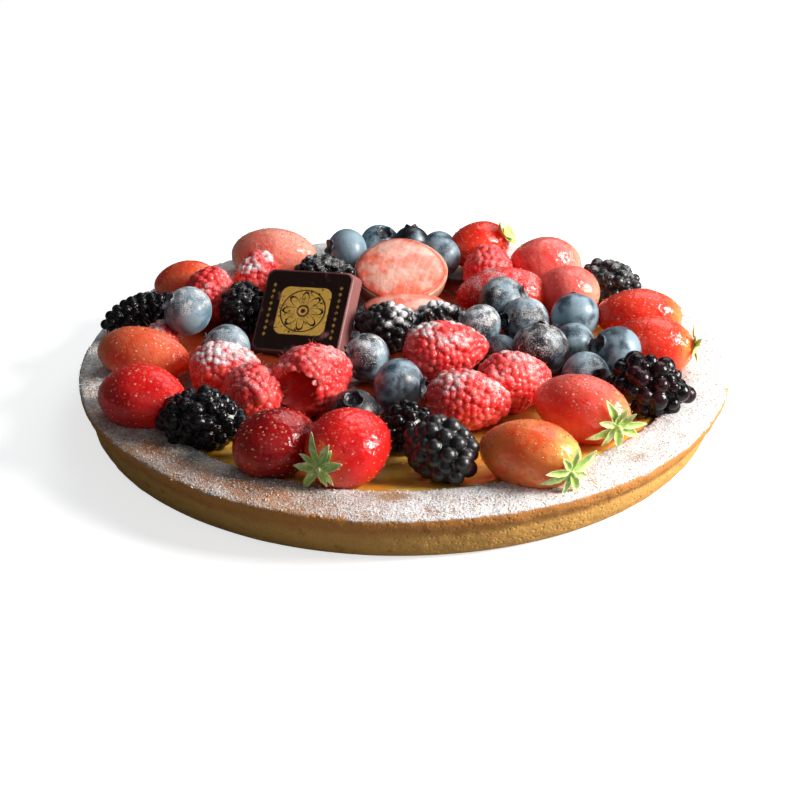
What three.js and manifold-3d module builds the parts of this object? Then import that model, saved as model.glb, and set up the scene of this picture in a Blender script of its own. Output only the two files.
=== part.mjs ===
// A fruit tart: a round shortcrust shell with a wide flat rim, a layer of custard in it, and one close layer of
// strawberries, raspberries, brambles and blueberries, with a square chocolate tile leaning among them.
// Millimetres, +Z up. The origin is the middle of the underside.
import * as THREE from "three";
import { ParametricGeometry } from "three/addons/geometries/ParametricGeometry.js";
import { mergeVertices } from "three/addons/utils/BufferGeometryUtils.js";
import Module from "manifold-3d";

const wasm = await Module();
wasm.setup();

// ---- Driving dimensions of the shell and the custard ----
const RIM_RADIUS = 110; // outer edge of the rim, the widest place
const RIM_WIDTH = 17; // from the outer edge to the inner edge
const EDGE_HEIGHT = 16.4; // the rim's outer edge
const CROWN_HEIGHT = 18; // the rim's highest ring
const INNER_EDGE_HEIGHT = 17.2;
const FOOT_RADIUS = 103.5; // where the side meets the flat underside
const CREASE_HEIGHT = 9.8; // the fold between the pale foot and the brown band under the rim
const BASE_THICKNESS = 5; // pastry under the custard
const CUSTARD_HEIGHT = 14; // top of the custard
const RIM_WAVE = 0.5; // how unevenly the rim runs
const DRAWN_IN = 2.6; // how far the shell has drawn in on one side in baking
const DRAWN_SIDE = 165; // the middle of that side, in degrees from +X
const SHELL_SIDES = 48;
const CUSTARD_SIDES = 32;

// ---- Driving dimensions shared by the toppings ----
const GAP = 0.3; // between pieces that touch
const PRESS = 0.8; // how far a fruit's underside is pressed flat on the custard
const RIM_PRESS = 4; // how far a soft fruit sits down over the rim's inner edge
const YIELD = 0.88; // the share of its radius at which a soft fruit gives way to its neighbour
const SETTLE_SWEEPS = 240;

// ---- The chocolate tile ----
const TILE = {
  at: [-33, 13],
  lift: -0.5,
  side: 34.5, // at its back
  thick: 5.5,
  corner: 3,
  draft: 1.2, // how far each side draws in towards the face
  bevel: 0.8, // round the face
  lean: 50, // back from upright
  turn: -20, // the way the face looks, from -Y towards +X
  cant: 5, // turned in its own plane, anticlockwise
};

// ---- The fruit ----
// at: place of the middle; lift: underside above the custard; long, wide: size along and across the axis;
// heading: the way the tip points, from +X towards +Y; tilt: how far the tip points up; sepals: leaves that show.
const strawberries = [
  { at: [-84, -17], lift: 0, long: 32, wide: 19, heading: -15, tilt: -4 },
  { at: [-78, -51], lift: 0, long: 29, wide: 21, heading: -20, tilt: 0 },
  { at: [-78, 48], lift: 0, long: 25, wide: 16, heading: 178, tilt: -6 },
  { at: [-48, 71], lift: 0, long: 33, wide: 21, heading: -5, tilt: 0 },
  { at: [0, 42], lift: 0, long: 34, wide: 33, heading: 92, tilt: 20, halved: true },
  { at: [2, 25], lift: 0, long: 30, wide: 20, heading: 5, tilt: 0, halved: true },
  { at: [-36, -79], lift: 0, long: 26, wide: 21, heading: 30, tilt: 8 },
  { at: [-15, -83], lift: 0, long: 27, wide: 23, heading: 43, tilt: 12, sepals: 5 },
  { at: [37, -85], lift: 0, long: 31, wide: 21, heading: 150, tilt: -5, sepals: 5 },
  { at: [55, -57], lift: 0, long: 32, wide: 21, heading: 145, tilt: 0, sepals: 5 },
  { at: [28, 78], lift: 2, long: 25, wide: 19, heading: 200, tilt: -6, sepals: 3 },
  { at: [54, 62], lift: 0, long: 27, wide: 21, heading: 180, tilt: 0 },
  { at: [38, 34], lift: 0, long: 33, wide: 19, heading: 185, tilt: 0 },
  { at: [61, 37], lift: 0, long: 23, wide: 20, heading: 150, tilt: 0 },
  { at: [83, 15], lift: 0, long: 30, wide: 20, heading: 175, tilt: 0 },
  { at: [82, -13], lift: 0, long: 28, wide: 21, heading: 168, tilt: 0, sepals: 3 },
];
const raspberries = [
  { at: [-56, -26], lift: 0, long: 24, wide: 19, heading: 0, tilt: 0 },
  { at: [-43, -45], lift: 0, long: 22, wide: 20, heading: -70, tilt: 25 },
  { at: [-29, -38], lift: 0, long: 28, wide: 23, heading: 48, tilt: 0, hollow: true },
  { at: [15, -17], lift: 2, long: 28, wide: 20, heading: 10, tilt: 0 },
  { at: [36, -36], lift: 0, long: 25, wide: 20, heading: 20, tilt: 0 },
  { at: [21, -51], lift: 0, long: 26, wide: 20, heading: -10, tilt: 0 },
  { at: [-65, 34], lift: 0, long: 20, wide: 20, heading: 60, tilt: 60 },
  { at: [-53, 52], lift: 0, long: 20, wide: 18, heading: 60, tilt: 60 },
  { at: [34, 60], lift: 0, long: 21, wide: 20, heading: 90, tilt: 30 },
  { at: [-79, 5], lift: 0, long: 15, wide: 13, heading: 80, tilt: 30 },
  { at: [-3, 65], lift: 0, long: 20, wide: 17, heading: 20, tilt: 0 },
];
const brambles = [
  { at: [-89, 14], lift: 0, long: 29, wide: 18, heading: 203, tilt: -4 },
  { at: [-60, -62], lift: 0, long: 28, wide: 20, heading: -5, tilt: 0 },
  { at: [12, -83], lift: 0, long: 25, wide: 20, heading: -50, tilt: 0 },
  { at: [2, -64], lift: 0, long: 18, wide: 16, heading: 60, tilt: 0 },
  { at: [78, -42], lift: 0, long: 28, wide: 21, heading: -20, tilt: 0 },
  { at: [75, 42], lift: 0, long: 23, wide: 19, heading: -30, tilt: 0 },
  { at: [-3, 8], lift: 0, long: 23, wide: 18, heading: 160, tilt: 0 },
  { at: [12, 10], lift: 0, long: 20, wide: 17, heading: 20, tilt: 0 },
  { at: [-28, 42], lift: 3, long: 25, wide: 19, heading: 0, tilt: 0 },
  { at: [-55, 26], lift: 0, long: 21, wide: 18, heading: 90, tilt: 30 },
];
const blueberries = [
  { at: [-21, 74], lift: 3, long: 15, wide: 17, heading: 200, tilt: 20 },
  { at: [-7, 84], lift: 4, long: 14, wide: 16, heading: 300, tilt: 60 },
  { at: [6, 82], lift: 5, long: 13, wide: 14, heading: 90, tilt: 60 },
  { at: [13, 82], lift: 3, long: 13, wide: 14, heading: 90, tilt: 0 },
  { at: [17, 71], lift: 3, long: 14, wide: 16, heading: 60, tilt: 0 },
  { at: [-76, 6], lift: 4, long: 16, wide: 17, heading: 195, tilt: 35 },
  { at: [-58, -13], lift: 0, long: 16, wide: 18, heading: 180, tilt: 20 },
  { at: [-11, -19], lift: 2, long: 15, wide: 16, heading: 190, tilt: 10 },
  { at: [0, -38], lift: 0, long: 16, wide: 18, heading: -15, tilt: 5 },
  { at: [-14, -53], lift: 0, long: 15, wide: 16, heading: -90, tilt: 65 },
  { at: [37, 20], lift: 4, long: 17, wide: 18, heading: -15, tilt: 25 },
  { at: [42, 8], lift: 3, long: 16, wide: 17, heading: 200, tilt: 10 },
  { at: [26, 4], lift: 2, long: 15, wide: 17, heading: 170, tilt: 30 },
  { at: [61, 15], lift: 2, long: 15, wide: 17, heading: 90, tilt: 30 },
  { at: [46, -15], lift: 3, long: 18, wide: 19, heading: 60, tilt: 65 },
  { at: [59, -4], lift: 0, long: 14, wide: 15, heading: -30, tilt: 10 },
  { at: [71, -19], lift: 4, long: 16, wide: 17, heading: 200, tilt: 30 },
  { at: [60, -29], lift: 0, long: 15, wide: 16, heading: -60, tilt: 20 },
  { at: [34, -11], lift: 0, long: 13, wide: 14, heading: 0, tilt: 0 },
  { at: [-30, 58], lift: 0, long: 13, wide: 14, heading: 120, tilt: 40 },
];

const TAU = 2 * Math.PI;
const INNER_RADIUS = RIM_RADIUS - RIM_WIDTH;
const radians = THREE.MathUtils.degToRad;

// ---- Solids ----
// A closed geometry as a solid that can be joined and cut.
function solidOf(geometry) {
  const bare = geometry.index ? geometry.toNonIndexed() : geometry.clone();
  for (const name of Object.keys(bare.attributes)) {
    if (name !== "position") bare.deleteAttribute(name);
  }
  const merged = mergeVertices(bare, 1e-4);
  const corners = Array.from(merged.index.array);
  const kept = [];
  for (let i = 0; i < corners.length; i += 3) {
    const [a, b, c] = corners.slice(i, i + 3);
    if (a !== b && b !== c && c !== a) kept.push(a, b, c);
  }
  return new wasm.Manifold(
    new wasm.Mesh({
      numProp: 3,
      vertProperties: new Float32Array(merged.attributes.position.array),
      triVerts: new Uint32Array(kept),
    }),
  );
}

// The largest body of a solid, without chips beside it or bubbles sealed inside it.
function whole(solid) {
  return solid.decompose().reduce((kept, body) => (body.volume() > kept.volume() ? body : kept));
}

function geometryOf(solid) {
  const mesh = solid.getMesh();
  return new THREE.BufferGeometry()
    .setAttribute("position", new THREE.BufferAttribute(mesh.vertProperties, mesh.numProp))
    .setIndex(new THREE.BufferAttribute(mesh.triVerts, 1));
}

// Moves every point of a geometry by shape(point).
function reshaped(geometry, shape) {
  const position = geometry.attributes.position;
  const point = new THREE.Vector3();
  for (let i = 0; i < position.count; i++) {
    point.fromBufferAttribute(position, i);
    shape(point);
    position.setXYZ(i, point.x, point.y, point.z);
  }
  return geometry;
}

// A solid of revolution about Z whose profile is a list of [radius, height].
function turned(profile, sides) {
  const points = profile.map(([radius, height]) => new THREE.Vector2(radius, height));
  return new THREE.LatheGeometry(points, sides).rotateX(Math.PI / 2);
}

// ---- Shell and custard ----
// How far the rim stands out of a true circle at an angle: a few slow waves, and the side that has drawn in.
function rimWave(angle) {
  const slow = 0.5 * Math.sin(3 * angle + 0.6) + 0.3 * Math.sin(7 * angle + 2.1) + 0.2 * Math.sin(13 * angle + 4);
  const drawn = (0.5 + 0.5 * Math.cos(angle - radians(DRAWN_SIDE))) ** 3;
  return RIM_WAVE * slow - DRAWN_IN * drawn;
}

// Moves a point of the shell by the wave at its angle: none at the foot, all of it at the rim.
function waved(point) {
  const radius = Math.hypot(point.x, point.y);
  if (radius < INNER_RADIUS - 1) return;
  const angle = Math.atan2(point.y, point.x);
  const share = THREE.MathUtils.smoothstep(point.z, 0, CREASE_HEIGHT);
  const grown = 1 + (share * rimWave(angle)) / radius;
  point.x *= grown;
  point.y *= grown;
  point.z += 0.35 * share * RIM_WAVE * Math.sin(5 * angle + 1);
}

// The rim's top from the inner edge to the outer one, as [radius, height].
const rimTop = [
  [INNER_RADIUS, INNER_EDGE_HEIGHT - 0.8],
  [INNER_RADIUS + 0.9, INNER_EDGE_HEIGHT],
  [INNER_RADIUS + 5, CROWN_HEIGHT],
  [RIM_RADIUS - 4, CROWN_HEIGHT - 0.2],
  [RIM_RADIUS - 0.8, EDGE_HEIGHT + 0.6],
];

function crustGeometry() {
  const profile = [
    [0, 0],
    [FOOT_RADIUS - 2.5, 0],
    [FOOT_RADIUS, 1.2],
    [FOOT_RADIUS + 2.6, CREASE_HEIGHT - 3.6],
    [FOOT_RADIUS + 3.6, CREASE_HEIGHT],
    [FOOT_RADIUS + 5.2, CREASE_HEIGHT + 2.4],
    [RIM_RADIUS, EDGE_HEIGHT - 0.4],
    ...[...rimTop].reverse(),
    [INNER_RADIUS - 0.6, BASE_THICKNESS],
    [0, BASE_THICKNESS],
  ];
  return reshaped(turned(profile, SHELL_SIDES), waved);
}

function custardGeometry() {
  const radius = INNER_RADIUS - DRAWN_IN - 1.4;
  const floor = BASE_THICKNESS + GAP;
  const profile = [
    [0, floor],
    [radius, floor],
    [radius, CUSTARD_HEIGHT - 0.6],
    [radius - 0.6, CUSTARD_HEIGHT],
    [0, CUSTARD_HEIGHT],
  ];
  return turned(profile, CUSTARD_SIDES);
}

// Everything that the toppings rest on or lean over, grown by the gap: what they are trimmed by.
function bedGeometry() {
  const profile = [
    [0, -1],
    [RIM_RADIUS + 10, -1],
    [RIM_RADIUS + 10, EDGE_HEIGHT],
    ...rimTop.map(([radius, height], i) => [radius - (i ? 0 : GAP), height + GAP]).reverse(),
    [INNER_RADIUS - GAP, CUSTARD_HEIGHT + GAP],
    [0, CUSTARD_HEIGHT + GAP],
  ];
  return reshaped(turned(profile, SHELL_SIDES), waved);
}

// ---- Fruit shapes ----
// Each lies along X with its stem end at -X and its tip at +X, and its middle at the origin.
// A closed skin: radius(along, angle) is the distance from the axis, along runs from 0 at the stem to 1 at the tip.
function fruitSkin(long, sides, rings, radius) {
  return new ParametricGeometry(
    (u, v, target) => {
      const along = (1 - Math.cos(Math.PI * v)) / 2;
      const angle = TAU * u;
      const r = v === 0 || v === 1 ? 0 : radius(along, angle, v);
      target.set((along - 0.5) * long, r * Math.cos(angle), r * Math.sin(angle));
    },
    sides,
    rings,
  );
}

// A little broader at the stem than at its blunt tip.
function strawberryOutline(along) {
  return Math.sin(Math.PI * along ** 0.93) ** 0.49;
}

function strawberryGeometry({ long, wide, heading }, grow) {
  return fruitSkin(long + 2 * grow, 12, 8, (along, angle) => {
    const swell = 1 + 0.03 * Math.sin(3 * angle + heading) + 0.03 * Math.sin(2 * angle - heading);
    return (wide / 2) * strawberryOutline(along) * swell + grow;
  });
}

// Staggered rows of round drupelets: high in the middle of each, low in the creases between them.
function drupelets(around, rows, angle, v) {
  return Math.cos(around * angle) * Math.cos(rows * Math.PI * v);
}

// A thimble: broad at the stem end, round at the tip.
function raspberryGeometry({ long, wide }, grow) {
  const [around, rows] = [6, 6];
  return fruitSkin(long + 2 * grow, 2 * around, rows, (along, angle, v) => {
    const outline = Math.sin(Math.PI * along ** 0.76) ** 0.5;
    return (wide / 2) * outline + 0.4 * drupelets(around, rows, angle, v) - 0.4 + grow;
  });
}

function brambleGeometry({ long, wide }, grow) {
  const [around, rows] = [6, 6];
  return fruitSkin(long + 2 * grow, 2 * around, rows, (along, angle, v) => {
    const outline = Math.sin(Math.PI * along ** 0.88) ** 0.52;
    return (wide / 2) * outline + 0.6 * drupelets(around, rows, angle, v) - 0.5 + grow;
  });
}

// A ball that is a little flat, with a shallow crowned eye at the tip.
function blueberryGeometry({ long, wide }, grow) {
  const eye = 0.3 * (wide / 2);
  const steps = 5;
  const last = Math.asin(eye / (wide / 2));
  const profile = [[0, -long / 2 - grow]];
  for (let i = 1; i <= steps; i++) {
    const angle = Math.PI - ((Math.PI - last) * i) / steps;
    profile.push([(wide / 2 + grow) * Math.sin(angle), (long / 2 + grow) * Math.cos(angle)]);
  }
  const crown = (long / 2) * Math.cos(last) + grow;
  profile.push([eye * 0.6, crown - 0.9], [0, crown - 0.9]);
  return turned(profile, 9).rotateY(Math.PI / 2);
}

// One pointed leaf of the calyx: a thin wavy solid that lies over the shoulder of its fruit, sunk into it, and lifts
// off it towards the point. Both faces are split into triangles alike.
function sepalGeometry({ long, wide }, reach, wave) {
  const leaf = new THREE.BoxGeometry(1, 1, 1, 1, 1, 2);
  return reshaped(leaf, (point) => {
    const out = point.z + 0.5;
    const along = 0.015 + 0.32 * reach * out ** 1.6;
    const half = 0.22 * wide * Math.sin(Math.PI * (0.2 + 0.75 * out));
    const lift = (point.y > 0 ? 0.6 : -1.4) + 1.7 * out ** 3 + 0.3 * Math.sin(wave + 5 * out);
    const radial = (wide / 2) * strawberryOutline(along) + 0.7 * lift;
    const wrap = (2 * point.x * half) / Math.max(radial, 3);
    point.set((along - 0.5) * long - 0.7 * lift, radial * Math.sin(wrap), radial * Math.cos(wrap));
  });
}

// The leaves of one calyx, spread round the stem end of a fruit.
function calyx(fruit) {
  const leaves = [];
  for (let i = 0; i < fruit.sepals; i++) {
    const reach = 0.85 + 0.2 * Math.sin(2.3 * i);
    const leaf = sepalGeometry(fruit, reach, 1.7 * i);
    leaves.push(leaf.rotateX((TAU * i) / fruit.sepals + 0.25 * Math.sin(4.1 * i)));
  }
  return leaves;
}

const fruitShapes = {
  strawberry: strawberryGeometry,
  raspberry: raspberryGeometry,
  bramble: brambleGeometry,
  blueberry: blueberryGeometry,
};

// ---- How each topping lies ----
function turnOf({ heading, tilt }) {
  return new THREE.Euler(0, -radians(tilt), radians(heading), "ZYX");
}

// The balls that stand for a fruit while the layer settles: their places along the axis and their radii.
function ballsOf({ kind, long, wide, halved }) {
  const radius = (wide / 2) * (halved ? 0.75 : 1);
  if (long < wide * 1.1) return [{ along: 0, radius: halved ? radius : (radius + long / 2) / 2 }];
  const spare = long / 2 - radius;
  const tip = kind === "strawberry" ? 0.6 : 0.85;
  return [
    { along: -spare * 0.9, radius: radius * 0.94 },
    { along: 0, radius },
    { along: long / 2 - radius * tip, radius: radius * tip },
  ];
}

function placed(kind, rows) {
  return rows.map((row, i) => {
    const axis = new THREE.Vector3(1, 0, 0).applyEuler(turnOf(row));
    const level = Math.sqrt(1 - axis.z * axis.z);
    const half = Math.hypot((row.wide / 2) * level, (row.long / 2) * axis.z);
    const rest = CUSTARD_HEIGHT + GAP + half - PRESS;
    const middle = new THREE.Vector3(row.at[0], row.at[1], rest + row.lift);
    const name = kind + "_" + String(i + 1).padStart(2, "0");
    return { ...row, kind, name, axis, rest, middle, wanted: middle.clone(), balls: ballsOf({ ...row, kind }) };
  });
}

function tilePlace() {
  const foot = (TILE.side / 2) * Math.cos(radians(TILE.lean));
  return new THREE.Matrix4()
    .makeTranslation(TILE.at[0], TILE.at[1], CUSTARD_HEIGHT + TILE.lift + foot)
    .multiply(new THREE.Matrix4().makeRotationZ(radians(TILE.turn)))
    .multiply(new THREE.Matrix4().makeRotationX(radians(90 - TILE.lean)))
    .multiply(new THREE.Matrix4().makeRotationZ(radians(TILE.cant)));
}

// Fixed balls that stand for the tile while the fruit settles round it.
function tileBalls() {
  const place = tilePlace();
  const reach = (TILE.side - TILE.thick) / 4;
  const balls = [];
  for (let i = -2; i <= 2; i++) {
    for (let j = -2; j <= 2; j++) {
      const centre = new THREE.Vector3(i * reach, j * reach, 0).applyMatrix4(place);
      balls.push({ centre, radius: TILE.thick / 2 });
    }
  }
  return balls;
}

function centreOf(fruit, ball) {
  return fruit.middle.clone().addScaledVector(fruit.axis, ball.along);
}

const push = new THREE.Vector3();

// Moves two fruits apart where their balls overlap.
function part(one, other) {
  if (one.middle.distanceTo(other.middle) > (one.long + other.long) / 2 + 8) return;
  for (const a of one.balls) {
    for (const b of other.balls) {
      push.subVectors(centreOf(one, a), centreOf(other, b));
      const overlap = YIELD * (a.radius + b.radius) - push.length();
      if (overlap <= 0) continue;
      push.setLength(0.15 * overlap);
      one.middle.add(push);
      other.middle.sub(push);
    }
  }
}

// Keeps a fruit out of the tile, and on the inner side of the rim or on top of it.
function holdIn(fruit, blocks) {
  for (const ball of fruit.balls) {
    const centre = centreOf(fruit, ball);
    for (const block of blocks) {
      push.subVectors(centre, block.centre);
      const overlap = ball.radius + block.radius - push.length();
      if (overlap > 0) fruit.middle.add(push.setLength(0.3 * overlap));
    }
    const out = Math.hypot(centre.x, centre.y);
    push.set(centre.x, centre.y, 0).setLength(Math.min(0, out - INNER_RADIUS));
    push.z = Math.max(0, centre.z - INNER_EDGE_HEIGHT);
    const overlap = ball.radius - RIM_PRESS - push.length();
    if (overlap > 0 && push.lengthSq() > 0) fruit.middle.add(push.setLength(0.3 * overlap));
  }
}

// Lets the fruit find room, each one drawn back gently towards its own place and down on to the custard.
function settle(fruits) {
  const blocks = tileBalls();
  for (let sweep = 0; sweep < SETTLE_SWEEPS; sweep++) {
    fruits.forEach((one, i) => {
      fruits.slice(i + 1).forEach((other) => part(one, other));
      holdIn(one, blocks);
      one.middle.lerp(one.wanted, 0.02);
      one.middle.z = Math.max(one.middle.z, one.rest);
    });
  }
}

// ---- The toppings' solids ----
function fruitSolid(fruit, grow = 0) {
  const place = new THREE.Matrix4()
    .makeTranslation(fruit.middle)
    .multiply(new THREE.Matrix4().makeRotationFromEuler(turnOf(fruit)));
  let solid = solidOf(fruitShapes[fruit.kind](fruit, grow).applyMatrix4(place));
  if (fruit.halved) {
    const cut = new THREE.BoxGeometry(2 * fruit.long, 2 * fruit.wide, 2 * fruit.wide);
    solid = solid.subtract(solidOf(cut.translate(0, 0, fruit.wide + grow).applyMatrix4(place)));
  }
  if (grow) return solid;
  if (fruit.sepals) {
    for (const leaf of calyx(fruit)) solid = solid.add(solidOf(leaf.applyMatrix4(place)));
  }
  if (fruit.hollow) {
    const cup = strawberryGeometry({ ...fruit, long: 0.9 * fruit.long, wide: 0.62 * fruit.wide }, 0);
    solid = solid.subtract(solidOf(cup.translate(-0.3 * fruit.long, 0, 0).applyMatrix4(place)));
  }
  return solid;
}

// A square slab with round corners, whose sides draw in from the back to a bevelled face.
function tileGeometry(grow = 0) {
  const { corner, draft, bevel } = TILE;
  const thick = TILE.thick + 2 * grow;
  const half = TILE.side / 2 + grow;
  const near = half - corner;
  const outline = new THREE.Shape()
    .moveTo(-near, -half)
    .absarc(near, -near, corner, -Math.PI / 2, 0)
    .absarc(near, near, corner, 0, Math.PI / 2)
    .absarc(-near, near, corner, Math.PI / 2, Math.PI)
    .absarc(-near, -near, corner, Math.PI, 1.5 * Math.PI);
  const slab = new THREE.ExtrudeGeometry(outline, { depth: 3, steps: 3, bevelEnabled: false, curveSegments: 3 });
  const heights = [0, thick - bevel, thick - 0.3 * bevel, thick];
  const drawnIn = [0, draft, draft + 0.3 * bevel, draft + bevel];
  return reshaped(slab, (point) => {
    const layer = Math.round(point.z);
    const scale = 1 - drawnIn[layer] / half;
    point.set(point.x * scale, point.y * scale, heights[layer] - thick / 2);
  });
}

// ---- The scene graph ----
const looks = {
  crust: { color: 0xc98a42, roughness: 0.85 },
  custard: { color: 0xe0a83a, roughness: 0.25 },
  chocolate: { color: 0x24130e, roughness: 0.35 },
  strawberry: { color: 0xc8281e, roughness: 0.3 },
  raspberry: { color: 0xb92734, roughness: 0.55 },
  bramble: { color: 0x140c12, roughness: 0.2 },
  blueberry: { color: 0x4a5c70, roughness: 0.6 },
};
const tart = new THREE.Group();

// Adds a piece whose geometry is worked out in the tart's frame, and gives its mesh its own middle as position.
function addPiece(name, look, geometry, middle = new THREE.Vector3()) {
  const material = new THREE.MeshStandardMaterial({ metalness: 0, ...looks[look] });
  const mesh = new THREE.Mesh(geometry.translate(-middle.x, -middle.y, -middle.z), material);
  mesh.name = name;
  mesh.position.copy(middle);
  tart.add(mesh);
}

const fruits = [
  ...placed("strawberry", strawberries),
  ...placed("raspberry", raspberries),
  ...placed("bramble", brambles),
  ...placed("blueberry", blueberries),
];
settle(fruits);

const bed = solidOf(bedGeometry());
addPiece("crust", "crust", crustGeometry());
addPiece("custard", "custard", custardGeometry());
const tile = solidOf(tileGeometry().applyMatrix4(tilePlace())).subtract(bed);
const tileRoom = solidOf(tileGeometry(GAP).applyMatrix4(tilePlace()));
addPiece("chocolate_tile", "chocolate", geometryOf(tile));

// Each fruit is trimmed by the bed, the tile and the fruits before it, so that it dents where it leans.
const grown = fruits.map((fruit) => fruitSolid(fruit, GAP));
fruits.forEach((fruit, i) => {
  let solid = fruitSolid(fruit).subtract(bed).subtract(tileRoom);
  fruits.slice(0, i).forEach((other, j) => {
    const near = (other.long + fruit.long) / 2 + 4;
    if (other.middle.distanceTo(fruit.middle) < near) solid = solid.subtract(grown[j]);
  });
  addPiece(fruit.name, fruit.kind, geometryOf(whole(solid)), fruit.middle);
});

export default tart;
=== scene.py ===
"""A fruit tart: its looks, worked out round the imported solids.

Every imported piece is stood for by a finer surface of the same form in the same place: the shortcrust shell,
the custard, the chocolate square, and the strawberries, raspberries, brambles and blueberries with their seeds,
leaves, drupelets and crowns. Icing sugar and hairs are added. Sizes are in millimetres until a mesh is made.
"""

import logging
import math
from dataclasses import dataclass, field
from enum import Enum
from typing import ClassVar

import bpy
import numpy as np
from numpy.typing import NDArray
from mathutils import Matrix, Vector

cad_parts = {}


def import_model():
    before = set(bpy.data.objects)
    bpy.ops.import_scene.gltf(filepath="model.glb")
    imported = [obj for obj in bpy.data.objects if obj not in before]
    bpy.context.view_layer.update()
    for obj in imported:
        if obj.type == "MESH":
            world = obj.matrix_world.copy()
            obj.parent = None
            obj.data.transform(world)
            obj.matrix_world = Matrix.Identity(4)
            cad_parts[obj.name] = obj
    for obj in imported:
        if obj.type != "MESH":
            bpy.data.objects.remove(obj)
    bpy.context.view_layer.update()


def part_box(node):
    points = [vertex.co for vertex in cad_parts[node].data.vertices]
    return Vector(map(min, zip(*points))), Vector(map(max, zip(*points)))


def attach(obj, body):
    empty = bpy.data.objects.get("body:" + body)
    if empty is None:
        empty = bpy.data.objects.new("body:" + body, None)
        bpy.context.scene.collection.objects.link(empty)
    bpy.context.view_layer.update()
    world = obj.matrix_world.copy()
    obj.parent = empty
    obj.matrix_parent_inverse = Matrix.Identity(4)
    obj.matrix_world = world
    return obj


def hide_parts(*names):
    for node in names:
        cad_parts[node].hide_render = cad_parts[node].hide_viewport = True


Array = NDArray[np.float64]
Paint = tuple[int, int, int]
Scatter = tuple[float, float, float]
Socket = bpy.types.NodeSocket
Value = Socket | float | tuple

METRES = 0.001
TAU = 2 * math.pi
BODY = "root"
LOG = logging.getLogger("tart")


class Slot(Enum):
    """The material slots of the tart's record."""

    CRUST = "shortcrust"
    CUSTARD = "custard"
    CHOCOLATE = "chocolate"
    STRAWBERRY = "strawberry"
    RASPBERRY = "raspberry"
    BRAMBLE = "bramble"
    BLUEBERRY = "blueberry"


# ----------------------------------------------------------------------------------------------------
# Numbers on surfaces
# ----------------------------------------------------------------------------------------------------


def smooth_step(value: Array, low: float, high: float) -> Array:
    """An even rise from 0 at low to 1 at high.

    Args:
        value: The values to pass through the rise.
        low: Where the rise starts.
        high: Where the rise ends.

    Returns:
        3t^2 - 2t^3 of each value's place between low and high.
    """
    share = np.clip((value - low) / (high - low), 0, 1)
    return share * share * (3 - 2 * share)


def ring_angles(sides: int) -> Array:
    """The angles of a ring's sides, as one row."""
    return TAU * np.arange(sides)[None] / sides


def rings(level: Array, radius: Array, angle: Array) -> Array:
    """Rings round the z axis, as a grid of points: radius times cosine and sine of the angle, and the level."""
    return np.stack([radius * np.cos(angle), radius * np.sin(angle), level + 0 * angle], axis=-1)


def rings_about_x(level: Array, radius: Array, angle: Array) -> Array:
    """Rings round the x axis, as a grid of points."""
    return rings(level, radius, angle)[..., [2, 0, 1]]


def about(axis: int, angle: float) -> Array:
    """The rotation by an angle in radians about the x, y or z axis.

    Args:
        axis: 0 for x, 1 for y and 2 for z.
        angle: How far it turns.

    Returns:
        The rotation matrix.
    """
    first, second = (axis + 1) % 3, (axis + 2) % 3
    turn = np.eye(3)
    turn[first, first] = turn[second, second] = math.cos(angle)
    turn[second, first], turn[first, second] = math.sin(angle), -math.sin(angle)
    return turn


def towards(azimuth: float, elevation: float) -> Array:
    """The unit direction at an azimuth from +x and an elevation, both in degrees."""
    a, e = math.radians(azimuth), math.radians(elevation)
    return np.array([math.cos(a) * math.cos(e), math.sin(a) * math.cos(e), math.sin(e)])


class Relief:
    """Smooth random relief: random values on a cubic lattice, blended between its points by an even rise."""

    SIZE = 32
    OCTAVE_SHIFT = 7.3

    def __init__(self, seed: int) -> None:
        """Draws the lattice.

        Args:
            seed: The seed of the random draws.
        """
        self.lattice = np.random.default_rng(seed).uniform(-1, 1, (self.SIZE,) * 3)

    def at(self, points: Array, wavelength: float, octaves: int = 1) -> Array:
        """The relief at some points: each octave is half as long and half as high as the one before.

        Args:
            points: Points as rows of three.
            wavelength: The distance between lattice points.
            octaves: How many layers are summed.

        Returns:
            A value of about -1 to 1 for each point.
        """
        total, height = np.zeros(points.shape[:-1]), 1.0
        for octave in range(octaves):
            place = points / (wavelength / 2**octave) + self.OCTAVE_SHIFT * octave
            cell = np.floor(place).astype(int)
            share = smooth_step(place - cell, 0, 1)
            for corner in np.ndindex(2, 2, 2):
                x, y, z = np.moveaxis((cell + corner) % self.SIZE, -1, 0)
                weight = np.prod(np.where(np.array(corner) == 1, share, 1 - share), axis=-1)
                total += height * weight * self.lattice[x, y, z]
            height /= 2
        return total


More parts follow.
